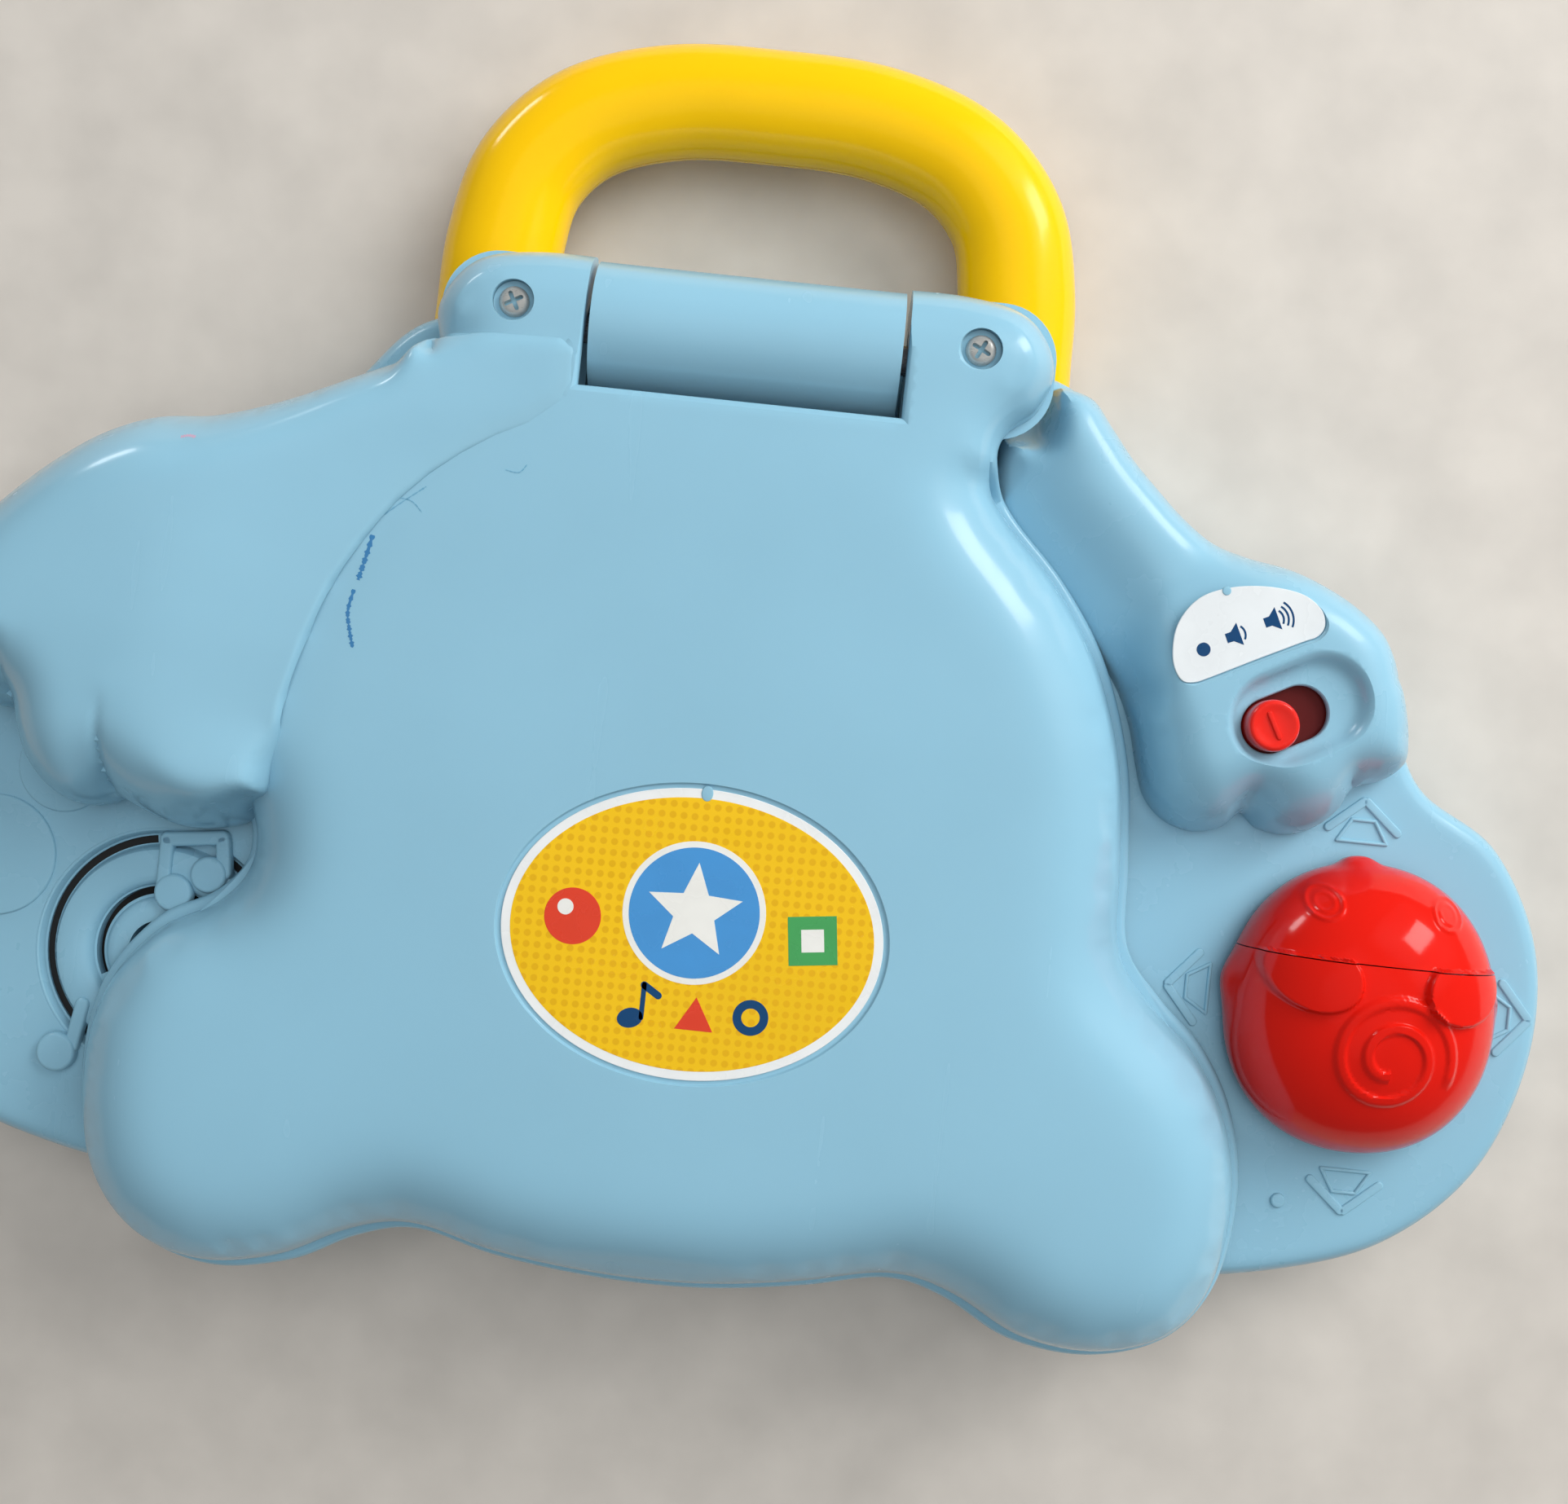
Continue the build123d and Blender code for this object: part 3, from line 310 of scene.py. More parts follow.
def carve(piece, body, cutters):
    """Cuts closed solids out of a piece, applies the result and rides the new mesh on its body."""
    for cutter in cutters:
        mod = piece.modifiers.new("cut", "BOOLEAN")
        mod.operation = "DIFFERENCE"
        mod.solver = "MANIFOLD"
        mod.object = cutter
    bpy.context.view_layer.update()
    result = bpy.data.meshes.new_from_object(piece.evaluated_get(bpy.context.evaluated_depsgraph_get()))
    piece.modifiers.clear()
    old = piece.data
    result.materials.clear()
    for material in old.materials:
        result.materials.append(material)
    piece.data = result
    bpy.data.meshes.remove(old)
    for cutter in cutters:
        spare = cutter.data
        bpy.data.objects.remove(cutter)
        bpy.data.meshes.remove(spare)
    shade(piece, CARVED_CREASE)
    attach(piece, body)


def placed(name, data):
    """A new object in the scene."""
    thing = bpy.data.objects.new(name, data)
    bpy.context.scene.collection.objects.link(thing)
    return thing


def solid(name, verts, faces, weld=0.0):
    """A loose object from points in millimetres; weld joins points closer than that many metres."""
    mesh = bpy.data.meshes.new(name)
    places = [tuple(float(c) * MM for c in v) for v in verts]
    mesh.from_pydata(places, [], [tuple(int(i) for i in f) for f in faces])
    if weld:
        mesh.validate()
    bm = bmesh.new()
    bm.from_mesh(mesh)
    if weld:
        bmesh.ops.remove_doubles(bm, verts=bm.verts, dist=weld)
    bmesh.ops.recalc_face_normals(bm, faces=bm.faces)
    bm.to_mesh(mesh)
    bm.free()
    return placed(name, mesh)


def prism(name, ring, z0, z1):
    return solid(name, *stack([(np.array(ring, float), z0), (np.array(ring, float), z1)]))


def circle(cx, cy, r, count=48, squash=1.0, turn=0.0):
    a = -np.linspace(0, 2 * math.pi, count, endpoint=False)
    return np.array(turned(cx, cy, turn, zip(r * np.cos(a), r * squash * np.sin(a))))


def lathe(mid, profile, count=48):
    """Rings round a middle, from pairs of radius and height."""
    return [(circle(*mid, r, count), z) for r, z in profile]


def turned(x, y, angle, points, size=1.0):
    """Points given round (0, 0), turned by an angle, scaled by a size and moved to (x, y)."""
    c, s = size * math.cos(angle), size * math.sin(angle)
    return [(x + u * c - v * s, y + u * s + v * c) for u, v in points]


def capsule(mid, half, r, turn, count=24):
    """A clockwise stadium outline."""
    ends = []
    for side in (1, -1):
        a = np.linspace(math.pi / 2, -math.pi / 2, count) + (0 if side > 0 else math.pi)
        ends.append(np.stack([side * half + r * np.cos(a), r * np.sin(a)], 1))
    return np.array(turned(*mid, turn, np.vstack(ends)))


# ---- materials
def nodes_of(name):
    material = bpy.data.materials.new(name)
    material.use_nodes = True
    tree = material.node_tree
    tree.nodes.clear()
    out = tree.nodes.new("ShaderNodeOutputMaterial")
    shader = tree.nodes.new("ShaderNodeBsdfPrincipled")
    tree.links.new(shader.outputs[0], out.inputs[0])
    return material, tree, shader


def feed(tree, node, inputs):
    """Links sockets into a node's inputs, or sets their values, by name or by place."""
    for name, value in inputs.items():
        if isinstance(value, bpy.types.NodeSocket):
            tree.links.new(value, node.inputs[name])
        else:
            node.inputs[name].default_value = value
    return node


def add_node(tree, kind, inputs):
    return feed(tree, tree.nodes.new("ShaderNode" + kind), inputs)


def object_coords(tree):
    return tree.nodes.new("ShaderNodeTexCoord").outputs["Object"]


def add_noise(tree, scale, detail=2.0, roughness=0.5, stretch=None):
    source = object_coords(tree)
    if stretch:
        inputs = {"Scale": stretch[0], "Rotation": stretch[1], "Vector": source}
        source = add_node(tree, "Mapping", inputs).outputs[0]
    inputs = {"Scale": scale, "Detail": detail, "Roughness": roughness, "Vector": source}
    return add_node(tree, "TexNoise", inputs).outputs["Fac"]


def span(tree, source, low, high, to_low, to_high):
    inputs = {"Value": source, "From Min": low, "From Max": high, "To Min": to_low, "To Max": to_high}
    return add_node(tree, "MapRange", inputs).outputs[0]


def blend_colour(tree, factor, first, second):
    node = add_node(tree, "Mix", {"Factor": factor})
    node.data_type = "RGBA"
    for socket, value in zip([s for s in node.inputs if s.type == "RGBA"], (first, second)):
        if isinstance(value, tuple):
            socket.default_value = (*value, 1)
        else:
            tree.links.new(value, socket)
    return [s for s in node.outputs if s.type == "RGBA"][0]


def mottled(tree, source, low, high, first, second):
    """The first colour where a source is low and the second where it is high."""
    return blend_colour(tree, span(tree, source, low, high, 0, 1), first, second)


def dimmed(colour, share):
    return tuple(min(1, c * share) for c in colour)


def emboss(tree, shader, source, strength, distance):
    """Bumps a shader's surface by a height value."""
    relief = add_node(tree, "Bump", {"Strength": strength, "Distance": distance, "Height": source})
    feed(tree, shader, {"Normal": relief.outputs[0]})


def join(tree, operation, first, second):
    node = add_node(tree, "Math", {0: first, 1: second})
    node.operation = operation
    return node.outputs[0]


def moulded(name, colour, gloss, scratches=0.5, glow=0.0, tint=0.02, coat=0.25, bend=1.5):
    """Glossy injection-moulded plastic: faint mottling, soft orange peel and hair scratches."""
    material, tree, shader = nodes_of(name)
    base = mottled(tree, add_noise(tree, 28, 3), 0.3, 0.7, dimmed(colour, 1 - tint), dimmed(colour, 1 + tint))
    hair_one = add_noise(tree, 240, 1, 0.4, ((1, 0.03, 1), (0, 0, 0.5)))
    hair_two = add_noise(tree, 260, 1, 0.4, ((1, 0.04, 1), (0, 0, -0.9)))
    hairs = join(tree, "MAXIMUM", span(tree, hair_one, 0.70, 0.78, 0, 1), span(tree, hair_two, 0.71, 0.79, 0, 1))
    smudge = add_noise(tree, 60, 4, 0.6)
    rough = join(tree, "ADD", span(tree, smudge, 0.3, 0.75, gloss * 0.8, gloss * 1.35),
                 join(tree, "MULTIPLY", hairs, 0.18 * scratches))
    peel = add_noise(tree, 700, 2)
    height = join(tree, "SUBTRACT", peel, join(tree, "MULTIPLY", hairs, 1.6 * scratches))
    emboss(tree, shader, height, 0.02, 0.0004)
    feed(tree, shader, {"Roughness": rough, "Base Color": base, "IOR": bend, "Coat Weight": coat,
                        "Coat Roughness": 0.06})
    if glow:
        feed(tree, shader, {"Subsurface Weight": glow, "Subsurface Radius": (0.6, 0.8, 1.0),
                            "Subsurface Scale": 0.003})
    return material


def metal(name, colour, rough):
    material, tree, shader = nodes_of(name)
    brushed = add_noise(tree, 900, 2, 0.5, ((1, 8, 1), (0, 0, 0.3)))
    tone = mottled(tree, add_noise(tree, 380, 3), 0.4, 0.75, colour, dimmed(colour, 0.7))
    feed(tree, shader, {"Roughness": span(tree, brushed, 0.3, 0.7, rough * 0.7, rough * 1.4), "Base Color": tone,
                        "Metallic": 0.55})
    return material


def matte(name, colour, rough, scale=300):
    material, tree, shader = nodes_of(name)
    grain = add_noise(tree, scale, 3)
    feed(tree, shader, {"Base Color": mottled(tree, grain, 0.3, 0.7, dimmed(colour, 0.88), colour),
                        "Roughness": span(tree, grain, 0.3, 0.7, rough * 0.85, min(1, rough * 1.15))})
    emboss(tree, shader, grain, 0.15, 0.0003)
    return material


def board(name):
    """Green circuit board with darker tracks and pale pads."""
    material, tree, shader = nodes_of(name)
    tracks = add_node(tree, "TexBrick", {"Scale": 120, "Mortar Size": 0.03, "Color1": (0.02, 0.16, 0.07, 1),
                                         "Color2": (0.02, 0.19, 0.08, 1), "Mortar": (0.05, 0.30, 0.13, 1),
                                         "Vector": object_coords(tree)})
    feed(tree, shader, {"Base Color": tracks.outputs["Color"], "Roughness": 0.35})
    return material


BLUE = (0.262, 0.500, 0.640)
shell_blue = moulded("shell_blue_plastic", BLUE, 0.2, glow=0.06)
deck_blue = moulded("deck_blue_plastic", BLUE, 0.26, glow=0.06)
yellow = moulded("handle_yellow_plastic", (0.94, 0.55, 0.0015), 0.16, glow=0.05, coat=0.1, bend=1.42)
red = moulded("mouse_red_plastic", (0.70, 0.010, 0.004), 0.12, scratches=0.25, glow=0.02, tint=0.03, coat=0.08,
              bend=1.38)
knob_red = moulded("knob_red_plastic", (0.78, 0.02, 0.012), 0.16, scratches=0.2, glow=0.03)
# the slide plate is the slider's red plastic darkened far below the knob's red: painted shade for the slot it shows
# through
shaded_plate_red = moulded("slide_plate_plastic", (0.085, 0.004, 0.004), 0.4, scratches=0.2)
steel = metal("screw_steel", (0.66, 0.66, 0.63), 0.36)
dark_steel = metal("pin_steel", (0.5, 0.5, 0.52), 0.3)
nickel = metal("contact_nickel", (0.72, 0.70, 0.64), 0.2)
rubber = matte("rubber_grey", (0.05, 0.05, 0.055), 0.8)
membrane = matte("membrane_white", (0.74, 0.74, 0.70), 0.6)
chip = matte("chip_black", (0.015, 0.015, 0.015), 0.35)
black = matte("speaker_black", (0.02, 0.02, 0.02), 0.5)
cone_paper = matte("speaker_paper", (0.035, 0.035, 0.035), 0.8)
inner_white = matte("inner_white_plastic", (0.66, 0.66, 0.63), 0.4)
pcb = board("board_green")
ON_LID, ON_BASE = (shell_blue, "lid", "shell_blue"), (deck_blue, "base", "shell_blue")
ON_KNOB = (knob_red, "volume_slider", "knob_red")


def clear(name, colour):
    """Clear plastic with a faint haze."""
    material, tree, shader = nodes_of(name)
    feed(tree, shader, {"Roughness": span(tree, add_noise(tree, 90, 3), 0.3, 0.7, 0.05, 0.11),
                        "Base Color": (*colour, 1), "Transmission Weight": 0.6, "IOR": 1.49})
    return material


# ---- the lid: dome, two front lobes, neck and knuckles
def lid_crown(x, y):
    """Height of the lid's upper surface away from its edges."""
    dome = LID_TOP - 1.4 * np.clip(((x - 1.5) / 80) ** 2 + ((y + 36) / 92) ** 2 - 0.16, 0, 1)
    lobes = 0.9 * (near(x, y, 74, -82, 20) + near(x, y, -76, -82, 20))
    creases = 1.3 * (near(x, y, 46, -99, 11) + near(x, y, -46, -99, 11)
                     + near(x, y, 74, -43, 8) + near(x, y, -75, -44, 8))
    back = smooth((y - 36) / 7)
    return (1 - back) * (dome + lobes - creases) + back * NECK_TOP


def covered(x, y):
    """1 where the left arm lies over the dome, 0 away from it."""
    return (1 - smooth((chain_distance(x, y, CREASE) - 5) / 7)) * smooth((y + 25) / 12)


def lid_surface(x, y, d):
    back = smooth((y - 33) / 6)
    base = RIM_Z + 0.2
    crown = lid_crown(x, y)
    lip = base + 1.7 * quarter(d / 1.2)
    inner = np.maximum(d - 2.1, 0) + 16 * covered(x, y) * (d > 2.1)
    dome = np.where(d <= 2.1, lip, base + 1.7 + (crown - base - 1.7) * quarter(inner / 15, 2.1))
    valley = 1.3 * np.exp(-((y - 51.0 - 0.09 * (x + 29)) / 2.0) ** 2) * (x < 0)
    knuckle = HINGE_Z + (crown - HINGE_Z) * quarter(d / KNUCKLE_R) - valley * smooth(d / 6)
    return (1 - back) * dome + back * knuckle


EDGE = [0, 0.08, 0.25, 0.5, 0.85, 1.25, 1.7, 2.05, 2.15, 2.35, 2.65, 3.0, 3.4, 3.9, 4.5]


def box_ring(x0, x1, y0, y1):
    return [(x0, y0), (x0, y1), (x1, y1), (x1, y0)]


lid_dome = make("lid_dome", *shell(LID_LINE, 640, EDGE, lid_surface, 1.5, 22, WALL), *ON_LID,
                ["lid_outer_shell"])
notch = [(box_ring(-NOTCH_HALF - grow, NOTCH_HALF + grow, NOTCH_Y - grow, 72), z) for grow, z in
         ((0, 20), (0, 44.3), (0.15, 44.8), (0.5, 45.2), (1.1, 45.5), (2.4, 46.1), (6, 47.2))]
lid_cutters = [solid("notch", *stack(notch))]
for side in (-1, 1):
    well = ((SCREW_HOLE_R, 38), (SCREW_HOLE_R, 44.3), (3.55, 44.8), (4.0, 45.2), (4.9, 45.5), (6, 47))
    lid_cutters.append(solid("well", *stack(lathe((side * SCREW_X, SCREW_Y), well))))
recess = [(circle(*LABEL_MID, LABEL_A + grow, 160, LABEL_B / LABEL_A), z) for grow, z in
          ((0.0, 46.0), (0.25, 46.02), (0.4, 46.12), (0.5, 46.4), (0.9, 46.9), (2.4, 48.5))]
lid_cutters.append(solid("recess", *stack(recess)))
carve(lid_dome, "lid", lid_cutters)

for side, word in ((-1, "left"), (1, "right")):
    cup = ((4.6, 43.4), (4.6, 40.0), (4.0, 39.6), (0.01, 39.6), (0.01, 42.3), (3.0, 42.3), (3.4, 42.5), (3.4, 43.4),
           (4.6, 43.4))
    make("screw_well_" + word, *stack(lathe((side * SCREW_X, SCREW_Y), cup), False), *ON_LID)


# ---- the lid's left arm and paw
TOE_GROOVES = (((-97.9, -33.5), (-96.2, -13), 4.8), ((-116.6, -19.5), (-112.4, -5), 3.8))


def grooves(x, y, lines, d):
    """Depth of soft furrows that start at the outline and fade along each line."""
    depth = np.zeros_like(x)
    for a, b, deep in lines:
        along = np.clip(((x - a[0]) * (b[0] - a[0]) + (y - a[1]) * (b[1] - a[1]))
                        / ((b[0] - a[0]) ** 2 + (b[1] - a[1]) ** 2), 0, 1)
        gap = line_distance(x, y, a, b)
        depth += deep * (1 - smooth(along)) * np.exp(-gap / (0.8 + 0.9 * along)) * smooth(d / 2.5)
    return depth


LID_LOOP = even_loop(LID_LINE, 320)


def arm_left_height(x, y, d):
    reach = np.clip(np.hypot(x + 34, y - 44) / 72, 0, 1)
    crown = 45.9 + (ARM_TOP - 45.9) * smooth(reach)
    crown = crown - 0.03 * np.clip(-y - 4, 0, 40) ** 1.25
    over = chain_distance(x, y, REST)
    gap, inside = edge_distance(np.column_stack([x, y]), LID_LOOP)
    beside = smooth((d - over + 7) / 6) * smooth((y + 34.5) / 7)
    fade = smooth((y + 30) / 14)
    plateau = lid_crown(x, y) - 0.2
    falling = plateau - lid_surface(x, y, np.where(inside, gap, 0)) + 0.2
    ground = plateau - falling * (1 - smooth((over - 0.5) / 5))
    rise = 0.42 * quarter(over / 1.1) + 0.58 * smooth((over + 1) / (5 + 24 * smooth(reach * 1.35)))
    top = crown - (crown - ground) * (1 - rise) * fade
    rim = RIM_Z + 0.3
    width = (8 + 6 * smooth(reach * 1.3 - 0.3)) * (1 - beside) + 4.5 * beside
    hanging = rim + (top - rim) * quarter(d / width, 2.1)
    held = beside * fade
    return held * top + (1 - held) * hanging - grooves(x, y, TOE_GROOVES, d)


def toe_lines(x, y):
    """1 along the paw's furrows, where the surface is not evened out."""
    return np.maximum.reduce([1 - smooth((line_distance(x, y, a, b) - 0.8) / 2.4) for a, b, _ in TOE_GROOVES])


ARM_INSETS = [0, 0.06, 0.2, 0.42, 0.7, 1.05, 1.5, 2.0]
lid_arm = make("lid_arm", *shell(ARM_LEFT, 480, ARM_INSETS, arm_left_height, 0.85, 16, WALL, crisp=toe_lines),
               *ON_LID)


# ---- the base's upper half
def cad_outline(node, z, grow, count):
    """The outline of a CAD node at a height, grown outward: clockwise, in millimetres."""
    bm = bmesh.new()
    bm.from_mesh(frame["nodes"][node].data)
    bmesh.ops.remove_doubles(bm, verts=bm.verts, dist=1e-6)
    bmesh.ops.bisect_plane(bm, geom=bm.verts[:] + bm.edges[:] + bm.faces[:], dist=1e-7, plane_co=(0, 0, z * MM),
                           plane_no=(0, 0, 1), clear_inner=True, clear_outer=True)
    bmesh.ops.remove_doubles(bm, verts=bm.verts, dist=1e-6)
    start = bm.verts[:][0]
    loop, previous, here = [start], None, start
    while True:
        step = [e.other_vert(here) for e in here.link_edges if e.other_vert(here) is not previous]
        if not step or step[0] is start:
            break
        previous, here = here, step[0]
        loop.append(here)
    points = np.array([(v.co.x / MM, v.co.y / MM) for v in loop])
    bm.free()
    ring = spread(np.vstack([points, points[:1]]), count)
    area = np.sum(ring[:, 0] * np.roll(ring[:, 1], -1) - np.roll(ring[:, 0], -1) * ring[:, 1])
    if area > 0:
        ring = ring[::-1]
    return ring - inward(ring) * grow


def grow_deck():
    loop = even_loop(BASE_LINE, 460)
    insets = [0, 0.05, 0.3, 0.8, 1.5, 2.4, 3.4, 4.6]
    heights = [SPLIT_Z + 0.1, 20.6, 22.1, 23.3, 24.2, 24.75, 24.96, DECK_Z]
    wall_foot = [(loop, SPLIT_Z + 0.1), (loop, 16.5), (loop, 20.2)]
    rings = wall_foot + list(zip(nested(loop, insets)[1:], heights[1:]))
    inner = nested(loop, [WALL])[0]
    front = np.column_stack([inner[:, 0], np.minimum(inner[:, 1], TROUGH_Y - WALL)])
    low = [(inner, SPLIT_Z + 0.1), (inner, TROUGH_Z - WALL)]
    high = [(front, TROUGH_Z - WALL), (front, DECK_Z - WALL)]
    middle = np.array((0, -30))
    hub = (middle + (rings[-1][0] - middle) * 0.002, DECK_Z)
    return stack((low + high)[::-1] + rings + [hub])


KEYS = ["circle", "triangle", "square", "star", "hexagon", "diamond", "flower", "oval", "arch"]
base_deck = make("base_deck", *grow_deck(), *ON_BASE, ["base_top_shell"])
deck_cutters = [prism("key_hole", cad_outline("key_" + kind, KEY_CUT_Z, KEY_GAP, KEY_POINTS), CUT_LOW, CUT_HIGH)
                for kind in KEYS]
stem = box_ring(MOUSE[0] - STEM_HOLE, MOUSE[0] + STEM_HOLE, MOUSE[1] - STEM_HOLE, MOUSE[1] + STEM_HOLE)
deck_cutters.append(prism("stem_hole", stem, CUT_LOW, CUT_HIGH))
deck_cutters.append(prism("trough", box_ring(-TROUGH_HALF, TROUGH_HALF, TROUGH_Y, 70), TROUGH_Z, CUT_HIGH))
deck_cutters.append(prism("speaker_hole", circle(*SPEAKER, SPEAKER_HOLE_R, 96), CUT_LOW, CUT_HIGH))
carve(base_deck, "base", deck_cutters)

# ---- the speaker's turned grille
grille_line = [(0.02, 21.6), (21.9, 21.6), (21.9, 22.9), (21.9, 24.4), (21.7, 24.85), (21.2, 25.0), (20.9, 24.9),
               (20.6, 24.4), (20.3, 23.6), (19.9, 23.3), (18.9, 23.3), (18.5, 23.4), (18.2, 23.9), (18.0, 24.9),
               (17.5, 25.6), (16.6, 25.9), (13.4, 25.9), (12.4, 25.6), (11.8, 25.0), (11.5, 24.2), (11.1, 23.9),
               (9.9, 23.9), (9.4, 24.1), (9.1, 24.7), (8.5, 25.2), (7.5, 25.4), (0.02, 25.4)]
speaker_grille = make("speaker_grille", *stack(lathe(SPEAKER, grille_line, 120)), *ON_BASE)


def arc_ring(cx, cy, r0, r1, a0, a1, count=40):
    a = np.linspace(math.radians(a0), math.radians(a1), count)
    outer, inner = (np.stack([cx + r * np.cos(a), cy + r * np.sin(a)], 1) for r in (r1, r0))
    return np.vstack([outer[::-1], inner])


slits = [prism("slit", arc_ring(*SPEAKER, r0, r1, a0, a1), CUT_LOW, CUT_HIGH) for r0, r1, a0, a1 in
         ((18.7, 20.0, 98, 262), (18.7, 20.0, -68, 62), (9.9, 11.2, 60, 208), (9.9, 11.2, 240, 388),
          (4.0, 5.2, 100, 250), (4.0, 5.2, -80, 70))]
carve(speaker_grille, "base", slits)


def raised(name, ring, z0, z1, edge, material, body, slot):
    """A low raised pad with a rounded upper edge."""
    rings = nested(np.array(ring, float), [0, edge * 0.3, edge * 0.7, edge], 0.0, edge)
    levels = (z1 - edge, z1 - edge * 0.3, z1 - edge * 0.05, z1)
    return make(name, *stack([(ring, z0)] + list(zip(rings, levels))), material, body, slot)


def on_deck(name, ring, top, edge):
    raised(name, ring, MARK_ROOT, top, edge, *ON_BASE)


def bar(a, b, r, count=14):
    mid = ((a[0] + b[0]) / 2, (a[1] + b[1]) / 2)
    return capsule(mid, math.hypot(b[0] - a[0], b[1] - a[1]) / 2, r, math.atan2(b[1] - a[1], b[0] - a[0]), count)


NOTE_HEADS = [(-89.2, -48.3, 3.3), (-83.4, -44.6, 3.2), (-106.5, -77.7, 3.4)]
NOTE_BARS = [((-91.2, -47), (-91.2, -39.5), 1.25), ((-80.9, -44), (-81.6, -38.6), 1.3),
             ((-91.2, -39.2), (-81.8, -38.0), 1.3), ((-104.1, -76.5), (-102.9, -69.2), 1.25)]
for place, (x, y, r) in enumerate(NOTE_HEADS):
    on_deck("note_head_%d" % place, circle(x, y, r, 48), 27.0, 0.7)
for place, (a, b, r) in enumerate(NOTE_BARS):
    on_deck("note_bar_%d" % place, bar(a, b, r), 26.6, 0.6)
for place, (x, y, r) in enumerate(((-120.9, -45.0, 10.5), (-110.5, -28.5, 8.0))):
    on_deck("deck_spot_%d" % place, circle(x, y, r, 72), 25.5, 0.4)

# four direction marks round the mouse, each of two wings and a small block
MARK_BARS = (((-1.9, 6.0), (3.0, 0.3), 0.8), ((-1.9, -6.0), (3.0, -0.3), 0.8), ((-4.0, -4.3), (-4.0, 4.3), 0.34),
             ((-4.0, 4.3), (-0.2, 2.0), 0.34), ((-0.2, 2.0), (-0.2, -2.0), 0.34), ((-0.2, -2.0), (-4.0, -4.3), 0.34))
for place, (x, y, turn) in enumerate(((114.4, -14.2, 90), (86.6, -46.2, 180), (143.2, -46, 0), (117.6, -79.1, 270))):
    for wing, (a, b, r) in enumerate(MARK_BARS):
        a, b = turned(x, y, math.radians(turn), (a, b))
        on_deck("mark_%d_%d" % (place, wing), bar(a, b, r, 8), 25.42, 0.3)
on_deck("mark_dot", circle(106.4, -81.5, 1.3, 24), 25.6, 0.4)


# ---- the base's right arm and paw
BASE_LOOP = even_loop(BASE_LINE, 460)
PAW_TOP = 41.5
PAW_GROOVES = (((92.5, -16), (91.4, -4.5), 3.4), ((110.6, -10), (105.4, -2.6), 3.2),
               ((118.6, 10.4), (110.5, 9.4), 1.9))


def arm_right_height(x, y, d):
    a, b = np.array((58.0, 50.0)), np.array((92.0, 8.0))
    along = ((x - a[0]) * (b[0] - a[0]) + (y - a[1]) * (b[1] - a[1])) / np.sum((b - a) ** 2)
    paw = smooth((along - 0.56) / 0.26)
    over = chain_distance(x, y, ARM_RIGHT_INNER[-11:-4])
    outside = 1 - smooth((edge_distance(np.column_stack([x, y]), BASE_LOOP)[0] - 0.6) / 3)
    low = DECK_Z - 0.3 - 4.6 * outside
    crown = 35.2 + 1.2 * np.clip(along, 0, 1) + (PAW_TOP - 36.4) * paw
    crown = crown - 2.6 * smooth((-6 - y) / 13) + 0.4 * near(x, y, 98, 4, 12)
    top = 29.0 + (crown - 29.0) * smooth((over + 1) / (17 - 9 * paw))
    width = 4.5 + 4.0 * smooth(over / 9) + 0.8 * paw + 1.5 * paw * smooth((4 - y) / 16)
    height = low + (top - low) * quarter(d / width, 2.1) - grooves(x, y, PAW_GROOVES, d)
    sweep = np.clip((KNUCKLE_R + 0.9) ** 2 - (y - HINGE_Y) ** 2, 0, None)
    bed = np.where(sweep > 0, np.maximum(HINGE_Z - np.sqrt(sweep), TROUGH_Z + 0.4), 99)
    beside = smooth((x - 52.4) / 1.6)
    return beside * height + (1 - beside) * np.minimum(height, bed)


rear = int(np.argmin(np.hypot(BASE_LOOP[:, 0] - 59.8, BASE_LOOP[:, 1] - 53.4)))
front = int(np.argmin(np.hypot(BASE_LOOP[:, 0] - 119.6, BASE_LOOP[:, 1] - 1.5)))
ARM_RIGHT = [tuple(p) for p in (BASE_LOOP - inward(BASE_LOOP) * 0.15)[rear:front + 1:4]] + ARM_RIGHT_INNER
base_arm = make("base_arm", *shell(ARM_RIGHT, 480, ARM_INSETS, arm_right_height, 0.9, 9, WALL, 5.0, 37.8), *ON_BASE)


def slot_cutter(name, mid, half, profile):
    return solid(name, *stack([(capsule(mid, half, r, SLOT_TURN), z) for r, z in profile]))


dish = slot_cutter("dish", SLOT_MID + (1.9, 1.5), 4.0,
                   ((4.6, 39.0), (5.4, 39.06), (6.1, 39.3), (6.7, 39.75), (7.15, 40.4), (7.6, 41.0), (8.2, 41.5),
                    (9.2, 42.0), (11.5, 43.2)))
slot_shaft = slot_cutter("slot_shaft", SLOT_MID, SLOT_TRAVEL / 2,
                         ((SLOT_R, 36), (SLOT_R, 38.6), (SLOT_R + 0.15, 38.9), (SLOT_R + 0.5, 39.15),
                          (SLOT_R + 1.3, 39.5)))
tag_line = even_loop([(79, 5.3), (76.8, 5.7), (75.2, 9), (75.4, 14.4), (78.3, 19), (83.1, 21.4), (89.3, 22.3),
                      (95.2, 21.7), (98.6, 19.6), (99.6, 17), (98.6, 15), (96, 13.7), (88.8, 10.1), (82, 6.6)], 120)
pocket = [(tag_line - inward(tag_line) * grow, z) for grow, z in ((0.15, 40.55), (0.2, 41.0), (0.5, 41.3), (1.2, 44))]
carve(base_arm, "base", [dish, slot_shaft, solid("pocket", *stack(pocket))])


